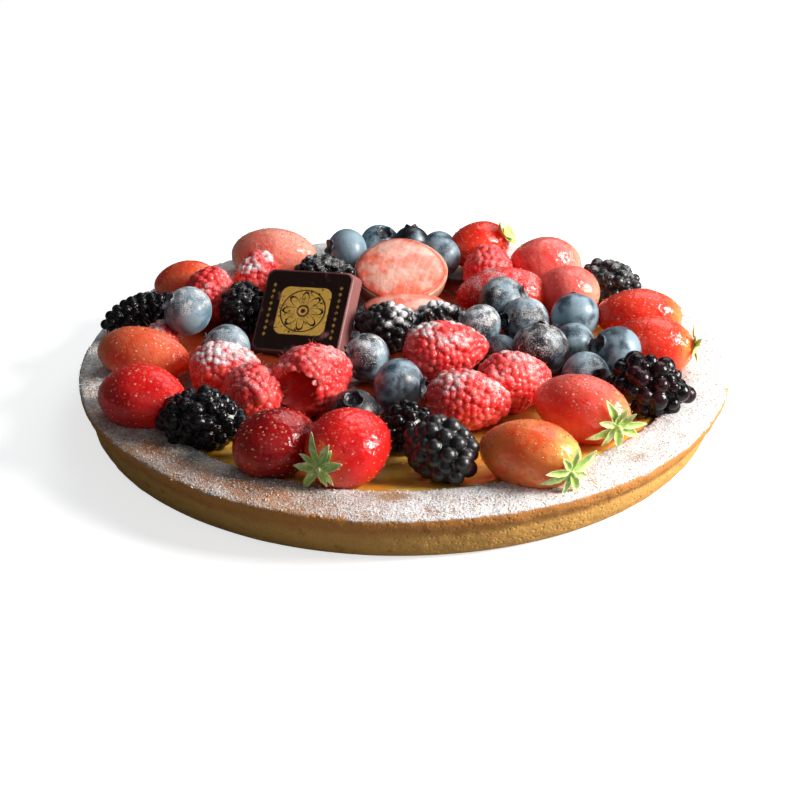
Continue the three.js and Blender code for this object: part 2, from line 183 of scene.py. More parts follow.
@dataclass
class Surface:
    """Points in millimetres, the faces between them, and named values for each point."""

    points: Array
    quads: Array
    triangles: Array
    values: dict[str, Array] = field(default_factory=dict)

    @classmethod
    def capped(cls, grid: Array, start: Array, end: Array, **values: Array) -> "Surface":
        """A closed surface from rings of points: four-sided faces join the rings, and a fan closes each end.

        Args:
            grid: Points as rings by sides by three.
            start: The pole before the first ring.
            end: The pole after the last ring.
            values: Values as rings by sides. A pole takes the mean of the ring beside it.

        Returns:
            The surface. It faces out where the sides turn anticlockwise as seen from the end pole.
        """
        rings, sides = grid.shape[:2]
        index = np.arange(rings * sides).reshape(rings, sides)
        right = np.roll(index, -1, axis=1)
        quads = np.stack([index[:-1], right[:-1], right[1:], index[1:]], axis=-1).reshape(-1, 4)
        poles = np.full(sides, rings * sides)
        triangles = np.concatenate(
            [
                np.stack([poles, right[0], index[0]], axis=-1),
                np.stack([index[-1], right[-1], poles + 1], axis=-1),
            ]
        )
        points = np.concatenate([grid.reshape(-1, 3), [start, end]])
        flat = {k: np.concatenate([v.ravel(), [v[0].mean(), v[-1].mean()]]) for k, v in values.items()}
        return cls(points, quads, triangles, flat)

    @classmethod
    def joined(cls, parts: list["Surface"]) -> "Surface":
        """Several surfaces as one, each with its own points.

        Args:
            parts: The surfaces, which all have the same names of values.

        Returns:
            The surfaces together.
        """
        starts = np.cumsum([0] + [len(part.points) for part in parts[:-1]])
        return cls(
            np.concatenate([part.points for part in parts]),
            np.concatenate([part.quads + start for part, start in zip(parts, starts)]),
            np.concatenate([part.triangles + start for part, start in zip(parts, starts)]),
            {key: np.concatenate([part.values[key] for part in parts]) for key in parts[0].values},
        )

    def normals(self) -> Array:
        """The direction out of the surface at each point: the mean of the faces round it, by area."""
        total = np.zeros_like(self.points)
        for faces in (self.quads, self.triangles):
            first, second, third = (self.points[faces[:, i]] for i in (0, 1, 2))
            across = np.cross(second - first, self.points[faces[:, -1]] - first)
            across += np.cross(third - second, first - second) if faces.shape[1] == 4 else 0
            for column in faces.T:
                np.add.at(total, column, across)
        return total / np.maximum(np.linalg.norm(total, axis=1, keepdims=True), 1e-12)

    def turned(self, turn: Array) -> "Surface":
        """The surface turned by a rotation matrix."""
        return Surface(self.points @ turn.T, self.quads, self.triangles, self.values)

    def moved(self, shift: Array) -> "Surface":
        """The surface moved by a shift."""
        return Surface(self.points + shift, self.quads, self.triangles, self.values)

    def scattered(self, places: Array, frames: Array, sizes: Array) -> "Surface":
        """Copies of this small surface, each turned, sized and put in its place.

        Args:
            places: The copies' middles, as rows of three.
            frames: A rotation matrix for each copy.
            sizes: A size for each copy, as rows of three: its own x, y and z are multiplied by it.

        Returns:
            All copies as one surface.
        """
        count, step = len(places), len(self.points)
        points = np.einsum("nij,nkj->nki", frames, self.points[None] * sizes[:, None]) + places[:, None]
        starts = (np.arange(count) * step)[:, None, None]
        values = {key: np.tile(value, count) for key, value in self.values.items()}
        return Surface(
            points.reshape(-1, 3),
            (self.quads[None] + starts).reshape(-1, 4),
            (self.triangles[None] + starts).reshape(-1, 3),
            values,
        )

    def shown(self, name: str, material: bpy.types.Material, slot: Slot, *nodes: str) -> None:
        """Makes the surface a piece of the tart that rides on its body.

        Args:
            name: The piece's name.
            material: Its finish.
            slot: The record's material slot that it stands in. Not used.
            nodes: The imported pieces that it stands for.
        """
        mesh = bpy.data.meshes.new(name)
        corners = np.concatenate([self.quads.ravel(), self.triangles.ravel()]).astype(np.int32)
        fours, threes = len(self.quads), len(self.triangles)
        starts = np.concatenate([np.arange(fours) * 4, fours * 4 + np.arange(threes) * 3]).astype(np.int32)
        mesh.vertices.add(len(self.points))
        mesh.vertices.foreach_set("co", (self.points * METRES).astype(np.float32).ravel())
        mesh.loops.add(len(corners))
        mesh.loops.foreach_set("vertex_index", corners)
        mesh.polygons.add(len(starts))
        mesh.polygons.foreach_set("loop_start", starts)
        mesh.update(calc_edges=True)
        mesh.polygons.foreach_set("use_smooth", np.ones(len(starts), bool))
        for key, value in self.values.items():
            mesh.attributes.new(key, "FLOAT", "POINT").data.foreach_set("value", value.astype(np.float32))
        mesh.materials.append(material)
        piece = bpy.data.objects.new(name, mesh)
        bpy.context.scene.collection.objects.link(piece)
        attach(piece, BODY)
        if nodes:
            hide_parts(*nodes)
        LOG.info("%s: %d points", name, len(self.points))


def rounded(rows: list[tuple[float, float]], passes: int) -> Array:
    """A profile with its corners cut off again and again, each time at a quarter of the sides next to them.

    Args:
        rows: The profile's points.
        passes: How often the corners are cut.

    Returns:
        The smoother profile, with the same two ends.
    """
    line = np.array(rows, float)
    for _ in range(passes):
        near, far = line[:-1] * 0.75 + line[1:] * 0.25, line[:-1] * 0.25 + line[1:] * 0.75
        line = np.concatenate([line[:1], np.stack([near, far], axis=1).reshape(-1, 2)[1:-1], line[-1:]])
    return line


def evenly(line: Array, count: int) -> Array:
    """Points at even distances along a line.

    Args:
        line: The line's points as rows.
        count: How many points are wanted.

    Returns:
        The points, with the line's two ends.
    """
    length = np.concatenate([[0], np.cumsum(np.linalg.norm(np.diff(line, axis=0), axis=1))])
    wanted = np.linspace(0, length[-1], count)
    return np.stack([np.interp(wanted, length, column) for column in line.T], axis=-1)


def pebble(sides: int, rows: int) -> Surface:
    """A small ball of radius 1 with few faces, for what is scattered.

    Args:
        sides: How many sides go round its x axis.
        rows: How many rings of points it has between its poles.

    Returns:
        The ball.
    """
    polar = np.pi * (1 - np.arange(1, rows + 1) / (rows + 1))[:, None]
    grid = rings_about_x(np.cos(polar), np.sin(polar), ring_angles(sides))
    return Surface.capped(grid, np.array([-1.0, 0, 0]), np.array([1.0, 0, 0]))


def frames_along(directions: Array, spin: Array) -> Array:
    """Rotation matrices whose x axes point in the given directions.

    Args:
        directions: Unit directions as rows.
        spin: An angle for each, turned about that direction.

    Returns:
        One matrix for each direction.
    """
    helper = np.where(np.abs(directions[:, 2:]) > 0.9, [[1.0, 0, 0]], [[0, 0, 1.0]])
    side = np.cross(helper, directions)
    side /= np.linalg.norm(side, axis=1, keepdims=True)
    other = np.cross(directions, side)
    cos, sin = np.cos(spin)[:, None], np.sin(spin)[:, None]
    return np.stack([directions, side * cos + other * sin, other * cos - side * sin], axis=-1)


# ----------------------------------------------------------------------------------------------------
# Wiring of materials
# ----------------------------------------------------------------------------------------------------


def painted(paint: Paint) -> tuple[float, float, float, float]:
    """A screen colour of 0 to 255 a channel as the light that a shader works with."""
    shares = (channel / 255 for channel in paint)
    return (*(s / 12.92 if s <= 0.04045 else ((s + 0.055) / 1.055) ** 2.4 for s in shares), 1.0)


class Wiring:
    """Adds nodes to a node tree and links them."""

    def __init__(self, tree: bpy.types.NodeTree) -> None:
        """Keeps the tree that the nodes go into."""
        self.tree = tree

    def add(self, kind: str, **settings: object) -> bpy.types.Node:
        """A new node of a kind with its settings."""
        node = self.tree.nodes.new(kind)
        for key, value in settings.items():
            setattr(node, key, value)
        return node

    def feed(self, socket: Socket, value: Value) -> None:
        """Links a socket to another one, or sets its own value."""
        if isinstance(value, Socket):
            self.tree.links.new(value, socket)
        else:
            socket.default_value = value

    def filled(self, sockets: list[Socket], terms: tuple[Value, ...]) -> None:
        """Feeds each of some sockets its own term."""
        for socket, term in zip(sockets, terms):
            self.feed(socket, term)

    def maths(self, operation: str, *terms: Value) -> Socket:
        """The result of a Math node: the operation on its terms."""
        node = self.add("ShaderNodeMath", operation=operation)
        self.filled(node.inputs, terms)
        return node.outputs[0]

    def times(self, first: Value, second: Value) -> Socket:
        """The product of two values."""
        return self.maths("MULTIPLY", first, second)

    def plus(self, first: Value, second: Value) -> Socket:
        """The sum of two values."""
        return self.maths("ADD", first, second)

    def scaled(self, value: Value, factor: Value, shift: Value) -> Socket:
        """The value times the factor, plus the shift."""
        return self.maths("MULTIPLY_ADD", value, factor, shift)

    def rise(self, value: Value, low: Value, high: Value, start: float = 0, end: float = 1) -> Socket:
        """An even rise from start to end while the value goes from low to high."""
        node = self.add("ShaderNodeMapRange", interpolation_type="SMOOTHSTEP")
        self.filled(node.inputs, (value, low, high, start, end))
        return node.outputs[0]

    def blend(self, share: Value, first: Value, second: Value) -> Socket:
        """A colour between two."""
        node = self.add("ShaderNodeMix", data_type="RGBA")
        self.filled([node.inputs[i] for i in (0, 6, 7)], (share, first, second))
        return node.outputs[2]

    def place(self) -> Socket:
        """The place on the object, in metres."""
        return self.add("ShaderNodeTexCoord").outputs["Object"]

    def upwards(self) -> Socket:
        """How far the surface faces up, from -1 to 1."""
        parts = self.add("ShaderNodeSeparateXYZ")
        self.feed(parts.inputs[0], self.add("ShaderNodeNewGeometry").outputs["Normal"])
        return parts.outputs[2]

    def noise(self, vector: Value, scale: Value, detail: float = 2, roughness: float = 0.5) -> Socket:
        """A cloudy value of about 0.2 to 0.8."""
        node = self.add("ShaderNodeTexNoise")
        names = ("Vector", "Scale", "Detail", "Roughness")
        self.filled([node.inputs[name] for name in names], (vector, scale, detail, roughness))
        return node.outputs["Fac"]

    def cells(self, vector: Value, scale: Value) -> Socket:
        """The distance to the nearest of many scattered points."""
        node = self.add("ShaderNodeTexVoronoi")
        self.filled([node.inputs["Vector"], node.inputs["Scale"]], (vector, scale))
        return node.outputs["Distance"]

    def dots(self, scale: float, core: float, edge: float) -> Socket:
        """Scattered dots: 1 within the core of each cell and 0 outside its edge."""
        return self.rise(self.cells(self.place(), scale), core, edge, 1.0, 0.0)

    def value(self, name: str) -> Socket:
        """The value that the mesh keeps under a name."""
        return self.add("ShaderNodeAttribute", attribute_name=name).outputs["Fac"]

    def group(self, tree: bpy.types.NodeTree, **inputs: Value) -> bpy.types.Node:
        """A node group with its inputs."""
        node = self.add("ShaderNodeGroup")
        node.node_tree = tree
        for name, value in inputs.items():
            self.feed(node.inputs[name], value)
        return node

    def bumped(self, height: Value, distance: float, strength: float = 1) -> Socket:
        """A normal that follows a height, whose full step is distance metres."""
        node = self.add("ShaderNodeBump")
        names = ("Strength", "Distance", "Height")
        self.filled([node.inputs[name] for name in names], (strength, distance, height))
        return node.outputs["Normal"]


class Effects:
    """The node groups that several finishes use."""

    SUGAR_GRAINS = 2100.0

    def __init__(self) -> None:
        """Builds each group once."""
        self.sugar = self._sugar()
        self.mottle = self._mottle()
        self.grain = self._grain()

    @staticmethod
    def _tree(name: str, inputs: dict[str, float | tuple], outputs: dict[str, str]) -> tuple[Wiring, dict]:
        """An empty group with its sockets.

        Args:
            name: The group's name.
            inputs: Each input's name and value; a tuple is a colour.
            outputs: Each output's name and kind of socket.

        Returns:
            The wiring of the group's tree, and the inner side of its inputs and outputs.
        """
        tree = bpy.data.node_groups.new(name, "ShaderNodeTree")
        for key, value in inputs.items():
            kind = "NodeSocketColor" if isinstance(value, tuple) else "NodeSocketFloat"
            tree.interface.new_socket(name=key, in_out="INPUT", socket_type=kind).default_value = value
        for key, kind in outputs.items():
            tree.interface.new_socket(name=key, in_out="OUTPUT", socket_type=kind)
        wires = Wiring(tree)
        entry, leave = wires.add("NodeGroupInput"), wires.add("NodeGroupOutput")
        return wires, {**dict(entry.outputs.items()), **{"out " + k: leave.inputs[k] for k in outputs}}

    def _sugar(self) -> bpy.types.NodeTree:
        """Icing sugar fallen from above: single grains where it is thin, a closed cover where it is thick."""
        wires, sockets = self._tree(
            "Icing sugar",
            {"Amount": 0.5, "Clumps": 260.0, "Clumping": 0.7},
            {"Cover": "NodeSocketFloat", "Height": "NodeSocketFloat"},
        )
        place = wires.place()
        up = wires.rise(wires.upwards(), -0.3, 0.8)
        bare = wires.rise(wires.noise(place, sockets["Clumps"]), 0.3, 0.7, 1.0, 0.0)
        thick = wires.maths("SUBTRACT", 1.0, wires.times(bare, sockets["Clumping"]))
        thick = wires.times(wires.times(thick, up), sockets["Amount"])
        grains = wires.noise(place, self.SUGAR_GRAINS, 2, 0.7)
        veil = wires.rise(wires.plus(grains, thick), 0.62, 1.2)
        heaps = wires.rise(wires.scaled(thick, 0.55, grains), 0.74, 0.86)
        cover = wires.maths("MAXIMUM", wires.times(veil, 0.85), wires.times(heaps, 0.95))
        wires.feed(sockets["out Cover"], cover)
        wires.feed(sockets["out Height"], wires.times(cover, wires.plus(grains, 0.5)))
        return wires.tree

    def _mottle(self) -> bpy.types.NodeTree:
        """A colour that wanders between two."""
        wires, sockets = self._tree(
            "Mottled colour",
            {"Colour": (1.0, 1.0, 1.0, 1.0), "Other": (0.0, 0.0, 0.0, 1.0), "Scale": 150.0, "Share": 0.5},
            {"Colour": "NodeSocketColor"},
        )
        cloud = wires.noise(wires.place(), sockets["Scale"], 3, 0.55)
        least = wires.scaled(sockets["Share"], -0.6, 0.72)
        share = wires.rise(cloud, least, wires.plus(least, 0.22))
        wires.feed(sockets["out Colour"], wires.blend(share, sockets["Colour"], sockets["Other"]))
        return wires.tree

    def _grain(self) -> bpy.types.NodeTree:
        """The fine uneven height of a skin or crumb."""
        wires, sockets = self._tree("Fine grain", {"Scale": 900.0, "Pores": 0.0}, {"Height": "NodeSocketFloat"})
        place = wires.place()
        cloud = wires.noise(place, sockets["Scale"], 3, 0.6)
        holes = wires.rise(wires.cells(place, sockets["Scale"]), 0.0, 0.45)
        holes = wires.times(wires.maths("SUBTRACT", holes, 1.0), sockets["Pores"])
        wires.feed(sockets["out Height"], wires.plus(cloud, holes))
        return wires.tree

    def mottled(
        self, wires: Wiring, colour: Value, other: Value, scale: float, share: float = 0.5
    ) -> Socket:
        """A colour that wanders to another one over a share of the surface."""
        node = wires.group(self.mottle, Colour=colour, Other=other, Scale=scale, Share=share)
        return node.outputs["Colour"]

    def grained(self, wires: Wiring, scale: float, pores: float = 0.0) -> Socket:
        """The fine height of a skin or crumb, with or without pores."""
        return wires.group(self.grain, Scale=scale, Pores=pores).outputs["Height"]


SUGAR_WHITE = painted((245, 246, 248))


@dataclass(frozen=True)
class Finish:
    """What every finish sets on its shader."""

    name: str
    roughness: float = 0.4
    coat: float = 0.0
    coat_roughness: float = 0.08
    specular: float = 0.5
    subsurface: float = 0.0
    subsurface_radius: Scatter = (0.002, 0.0006, 0.0004)

    SUGAR_ROUGHNESS = 0.9
    BUMP = 0.0004

    def made(self, effects: Effects) -> bpy.types.Material:
        """A new material: the values that are the same all over, and then what changes over the surface.

        Args:
            effects: The node groups.

        Returns:
            The material.
        """
        material = bpy.data.materials.new(self.name)
        material.use_nodes = True
        shader = material.node_tree.nodes["Principled BSDF"]
        shader.inputs["Roughness"].default_value = self.roughness
        shader.inputs["Coat Weight"].default_value = self.coat
        shader.inputs["Coat Roughness"].default_value = self.coat_roughness
        shader.inputs["Specular IOR Level"].default_value = self.specular
        shader.inputs["Subsurface Weight"].default_value = self.subsurface
        shader.inputs["Subsurface Radius"].default_value = self.subsurface_radius
        shader.inputs["Subsurface Scale"].default_value = 1.0
        self.wired(Wiring(material.node_tree), shader, effects)
        return material

    def wired(self, wires: Wiring, shader: bpy.types.Node, effects: Effects) -> None:
        """Wires what changes over the surface, which each finish does in its own way."""

    def sugared(
        self,
        wires: Wiring,
        shader: bpy.types.Node,
        effects: Effects,
        colour: Value,
        height: Value,
        amount: Value,
        clumps: float = 260,
        clumping: float = 0.75,
    ) -> None:
        """Lays icing sugar over a colour and a height, and feeds the shader: sugar is white, rough and dull.

        Args:
            wires: The material's wiring.
            shader: The material's shader.
            effects: The node groups.
            colour: The bare colour.
            height: The bare surface's height, in steps of the bump's distance.
            amount: How much sugar lies there, from 0 to 1.
            clumps: The scale of the sugar's clumps.
            clumping: How bare it is between the clumps, from 0 to 1.
        """
        dust = wires.group(effects.sugar, Amount=amount, Clumps=clumps, Clumping=clumping)
        cover = dust.outputs["Cover"]
        wires.feed(shader.inputs["Base Color"], wires.blend(cover, colour, SUGAR_WHITE))
        rougher = self.SUGAR_ROUGHNESS - self.roughness
        wires.feed(shader.inputs["Roughness"], wires.scaled(cover, rougher, self.roughness))
        wires.feed(shader.inputs["Coat Weight"], wires.scaled(cover, -self.coat, self.coat))
        total = wires.plus(height, wires.times(dust.outputs["Height"], 0.6))
        wires.feed(shader.inputs["Normal"], wires.bumped(total, self.BUMP))


@dataclass(frozen=True)
class StrawberryFinish(Finish):
    """A glazed strawberry: its flesh wanders between two reds and pales towards the stem, and pale beads of
    sugar on its upward faces are painted as glints, a painted highlight as well as sugar."""

    flesh: Paint = (200, 32, 24)
    flush: Paint = (150, 12, 12)
    shoulder: Paint = (222, 120, 60)
    pit: Paint = (244, 132, 84)
    # Painted highlight: the pale colour of the sugar beads on the tops, painted as glints as well as sugar.
    melted: Paint = (255, 222, 198)
    paling: float = 0.22
    sugar: float = 0.0
    drops: float = 0.0

    def wired(self, wires: Wiring, shader: bpy.types.Node, effects: Effects) -> None:
        """Wires what changes over the surface.

        Args:
            wires: The material's wiring.
            shader: The material's shader.
            effects: The node groups.
        """
        place = wires.place()
        body = effects.mottled(wires, painted(self.flesh), painted(self.flush), 110.0, 0.45)
        along = wires.scaled(wires.noise(place, 160), 0.16, wires.value("along"))
        ripe = wires.rise(along, self.paling * 0.35, self.paling + 0.12)
        body = wires.blend(ripe, painted(self.shoulder), body)
        body = wires.blend(wires.rise(wires.value("pit"), 0.2, 1.0, 0.0, 0.2), body, painted(self.pit))
        # Pale sugar beads on the upward faces, painted as glints: a painted highlight as well as sugar, with a
        # little bump.
        drops = wires.times(wires.dots(600, 0.1, 0.32), wires.rise(wires.noise(place, 280), 0.42, 0.52))
        drops = wires.times(drops, wires.rise(wires.upwards(), 0.0, 0.75, 0.0, self.drops))
        body = wires.blend(drops, body, painted(self.melted))
        height = wires.plus(effects.grained(wires, 420.0), drops)
        self.sugared(wires, shader, effects, body, height, self.sugar)


@dataclass(frozen=True)
class CutFinish(Finish):
    """The cut face of a strawberry: pale flesh with a white heart and white rays that run out to the skin."""

    flesh: Paint = (250, 108, 76)
    heart: Paint = (255, 204, 184)
    skin: Paint = (240, 72, 48)
    sugar: float = 0.2

    def wired(self, wires: Wiring, shader: bpy.types.Node, effects: Effects) -> None:
        """Wires what changes over the surface.

        Args:
            wires: The material's wiring.
            shader: The material's shader.
            effects: The node groups.
        """
        streaks = wires.rise(wires.noise(wires.value("ray"), 1.7, 2, 0.6), 0.44, 0.7)
        broken = wires.rise(wires.noise(wires.place(), 130), 0.36, 0.66)
        pale = wires.scaled(streaks, 0.25, wires.times(broken, 0.7))
        body = wires.blend(pale, painted(self.flesh), painted(self.heart))
        body = wires.blend(wires.rise(wires.value("reach"), 0.86, 0.99), body, painted(self.skin))
        height = wires.times(effects.grained(wires, 500.0), 0.4)
        self.sugared(wires, shader, effects, body, height, self.sugar)


@dataclass(frozen=True)
class DrupeFinish(Finish):
    """Raspberry or bramble: drupelets with sugar on the tops. The creases take a colour of painted light and
    shade:
    painted shade in a bramble, and in a raspberry a colour near the flesh that stands in for light through the
    drupelets.
    """

    flesh: Paint = (232, 46, 50)
    top: Paint = (240, 84, 78)
    # Painted light and shade: the colour laid in the creases between the drupelets.
    crease: Paint = (226, 66, 66)
    hollow: Paint = (240, 78, 66)
    speck: Paint = (252, 232, 228)
    sugar: float = 0.3
    specks: float = 0.0
    depth: float = 0.6

    def wired(self, wires: Wiring, shader: bpy.types.Node, effects: Effects) -> None:
        """Wires what changes over the surface.

        Args:
            wires: The material's wiring.
            shader: The material's shader.
            effects: The node groups.
        """
        rise = wires.value("rise")
        body = effects.mottled(wires, painted(self.flesh), painted(self.top), 170.0)
        # Painted light and shade: the creases between the drupelets take the crease colour.
        body = wires.blend(wires.rise(rise, 0.0, self.depth), painted(self.crease), body)
        body = wires.blend(wires.value("inner"), body, painted(self.hollow))
        chance = wires.rise(wires.noise(wires.place(), 420), 0.45, 0.57)
        specks = wires.times(wires.times(wires.dots(760, 0.0, 0.3), chance), self.specks)
        body = wires.blend(specks, body, painted(self.speck))
        height = wires.scaled(effects.grained(wires, 900.0), 0.3, wires.times(specks, 0.5))
        lying = wires.rise(rise, 0.1, 0.8, 0.6 * self.sugar, self.sugar)
        self.sugared(wires, shader, effects, body, height, wires.times(lying, wires.value("dust")), 420, 0.5)


@dataclass(frozen=True)
class BlueberryFinish(Finish):
    """A blueberry: a dull blue-grey bloom that is rubbed off in patches down to the dark skin."""

    bloom: Paint = (140, 166, 180)
    veil: Paint = (58, 82, 98)
    skin: Paint = (14, 12, 22)
    eye: Paint = (14, 12, 20)
    rubbed: float = 0.4
    sugar: float = 0.2

    def wired(self, wires: Wiring, shader: bpy.types.Node, effects: Effects) -> None:
        """Wires what changes over the surface.

        Args:
            wires: The material's wiring.
            shader: The material's shader.
            effects: The node groups.
        """
        body = effects.mottled(wires, painted(self.bloom), painted(self.veil), 190.0)
        body = effects.mottled(wires, body, painted(self.skin), 120.0, self.rubbed)
        body = wires.blend(wires.value("eye"), body, painted(self.eye))
        height = wires.times(effects.grained(wires, 1100.0), 0.15)
        self.sugared(wires, shader, effects, body, height, self.sugar, 330)


@dataclass(frozen=True)
class CrustFinish(Finish):
    """Baked shortcrust: golden band under the rim, paler foot, and a thick fall of icing sugar on the rim."""

    foot: Paint = (236, 178, 94)
    band: Paint = (214, 142, 68)
    brown: Paint = (178, 100, 42)
    bare: Paint = (174, 141, 108)
    pore: Paint = (150, 84, 36)

    def wired(self, wires: Wiring, shader: bpy.types.Node, effects: Effects) -> None:
        """Wires what changes over the surface.

        Args:
            wires: The material's wiring.
            shader: The material's shader.
            effects: The node groups.
        """
        place = wires.place()
        wander = wires.noise(place, 90, 4, 0.6)
        station = wires.plus(wires.value("station"), wires.scaled(wander, 0.12, -0.06))
        side = wires.blend(wires.rise(station, 0.30, 0.42), painted(self.foot), painted(self.band))
        edge = wires.times(wires.rise(station, 0.46, 0.60), 0.75)
        side = wires.blend(edge, side, painted(self.brown))
        side = effects.mottled(wires, side, painted(self.brown), 210.0, 0.22)
        side = wires.blend(wires.rise(station, 0.60, 0.68), side, painted(self.bare))
        side = wires.blend(wires.times(wires.dots(900, 0.0, 0.3), 0.4), side, painted(self.pore))
        height = wires.times(effects.grained(wires, 700.0, 0.8), 0.6)
        thin = wires.rise(wires.noise(place, 1300, 2, 0.7), 0.33, 0.5, 0.42, 1.0)
        amount = wires.times(wires.value("sugar"), thin)
        self.sugared(wires, shader, effects, side, height, amount, 300, 0.25)


@dataclass(frozen=True)
class CustardFinish(Finish):
    """Baked custard under a clear apricot glaze, darkened towards the middle by painted shade between the fruit.
    """

    cream: Paint = (246, 202, 92)
    amber: Paint = (236, 166, 52)
    # Painted shade: the dark red-brown laid on the custard between the fruit.
    juice: Paint = (138, 48, 18)

    def wired(self, wires: Wiring, shader: bpy.types.Node, effects: Effects) -> None:
        """Wires what changes over the surface.

        Args:
            wires: The material's wiring.
            shader: The material's shader.
            effects: The node groups.
        """
        body = effects.mottled(wires, painted(self.cream), painted(self.amber), 80.0)
        body = wires.blend(wires.value("juice"), body, painted(self.juice))
        wires.feed(shader.inputs["Base Color"], body)
        wires.feed(shader.inputs["Normal"], wires.bumped(effects.grained(wires, 260.0), self.BUMP, 0.6))


@dataclass(frozen=True)
class ChocolateFinish(Finish):
    """Dark chocolate with a gold print, a pinkish painted reflection on its edges that is strongest on the right
    side, and a dull bloom.
    """

    body: Paint = (26, 9, 5)
    # Painted reflection: the pinkish colour of the edges, also mottled into the body as a dull bloom.
    edge: Paint = (148, 96, 94)
    gold: Paint = (204, 162, 76)

    BUMP = 0.0003

    def wired(self, wires: Wiring, shader: bpy.types.Node, effects: Effects) -> None:
        """Wires what changes over the surface.

        Args:
            wires: The material's wiring.
            shader: The material's shader.
            effects: The node groups.
        """
        body = effects.mottled(wires, painted(self.body), painted(self.edge), 140.0, 0.2)
        # Painted reflection: the edges take the pinkish edge colour.
        body = wires.blend(wires.value("edge"), body, painted(self.edge))
        wear_and_sheen = wires.rise(wires.noise(wires.place(), 900, 3), 0.3, 0.45)
        body = wires.blend(wires.times(wires.value("gold"), wear_and_sheen), body, painted(self.gold))
        wires.feed(shader.inputs["Base Color"], body)
        wires.feed(shader.inputs["Normal"], wires.bumped(effects.grained(wires, 600.0), self.BUMP, 0.5))


@dataclass(frozen=True)
class LeafFinish(Finish):
    """A strawberry leaf: pale green-white edges and veins on green."""

    green: Paint = (170, 210, 88)
    pale: Paint = (240, 250, 190)

    BUMP = 0.0003

    def wired(self, wires: Wiring, shader: bpy.types.Node, effects: Effects) -> None:
        """Wires what changes over the surface.

        Args:
            wires: The material's wiring.
            shader: The material's shader.
            effects: The node groups.
        """
        body = effects.mottled(wires, painted(self.green), painted(self.pale), 420.0, 0.4)
        body = wires.blend(wires.value("margin"), body, painted(self.pale))
        wires.feed(shader.inputs["Base Color"], body)
        wires.feed(shader.inputs["Normal"], wires.bumped(effects.grained(wires, 900.0), self.BUMP, 0.7))


@dataclass(frozen=True)
class PlainFinish(Finish):
    """A small thing of two mixed colours, such as a seed, a hair or a grain of sugar."""

    colour: Paint = (214, 170, 70)
    other: Paint = (170, 110, 40)

    SCALE = 700.0

    def wired(self, wires: Wiring, shader: bpy.types.Node, effects: Effects) -> None:
        """Wires what changes over the surface.

        Args:
            wires: The material's wiring.
            shader: The material's shader.
            effects: The node groups.
        """
        body = effects.mottled(wires, painted(self.colour), painted(self.other), self.SCALE)
        wires.feed(shader.inputs["Base Color"], body)


# ----------------------------------------------------------------------------------------------------
# Fruit
# ----------------------------------------------------------------------------------------------------


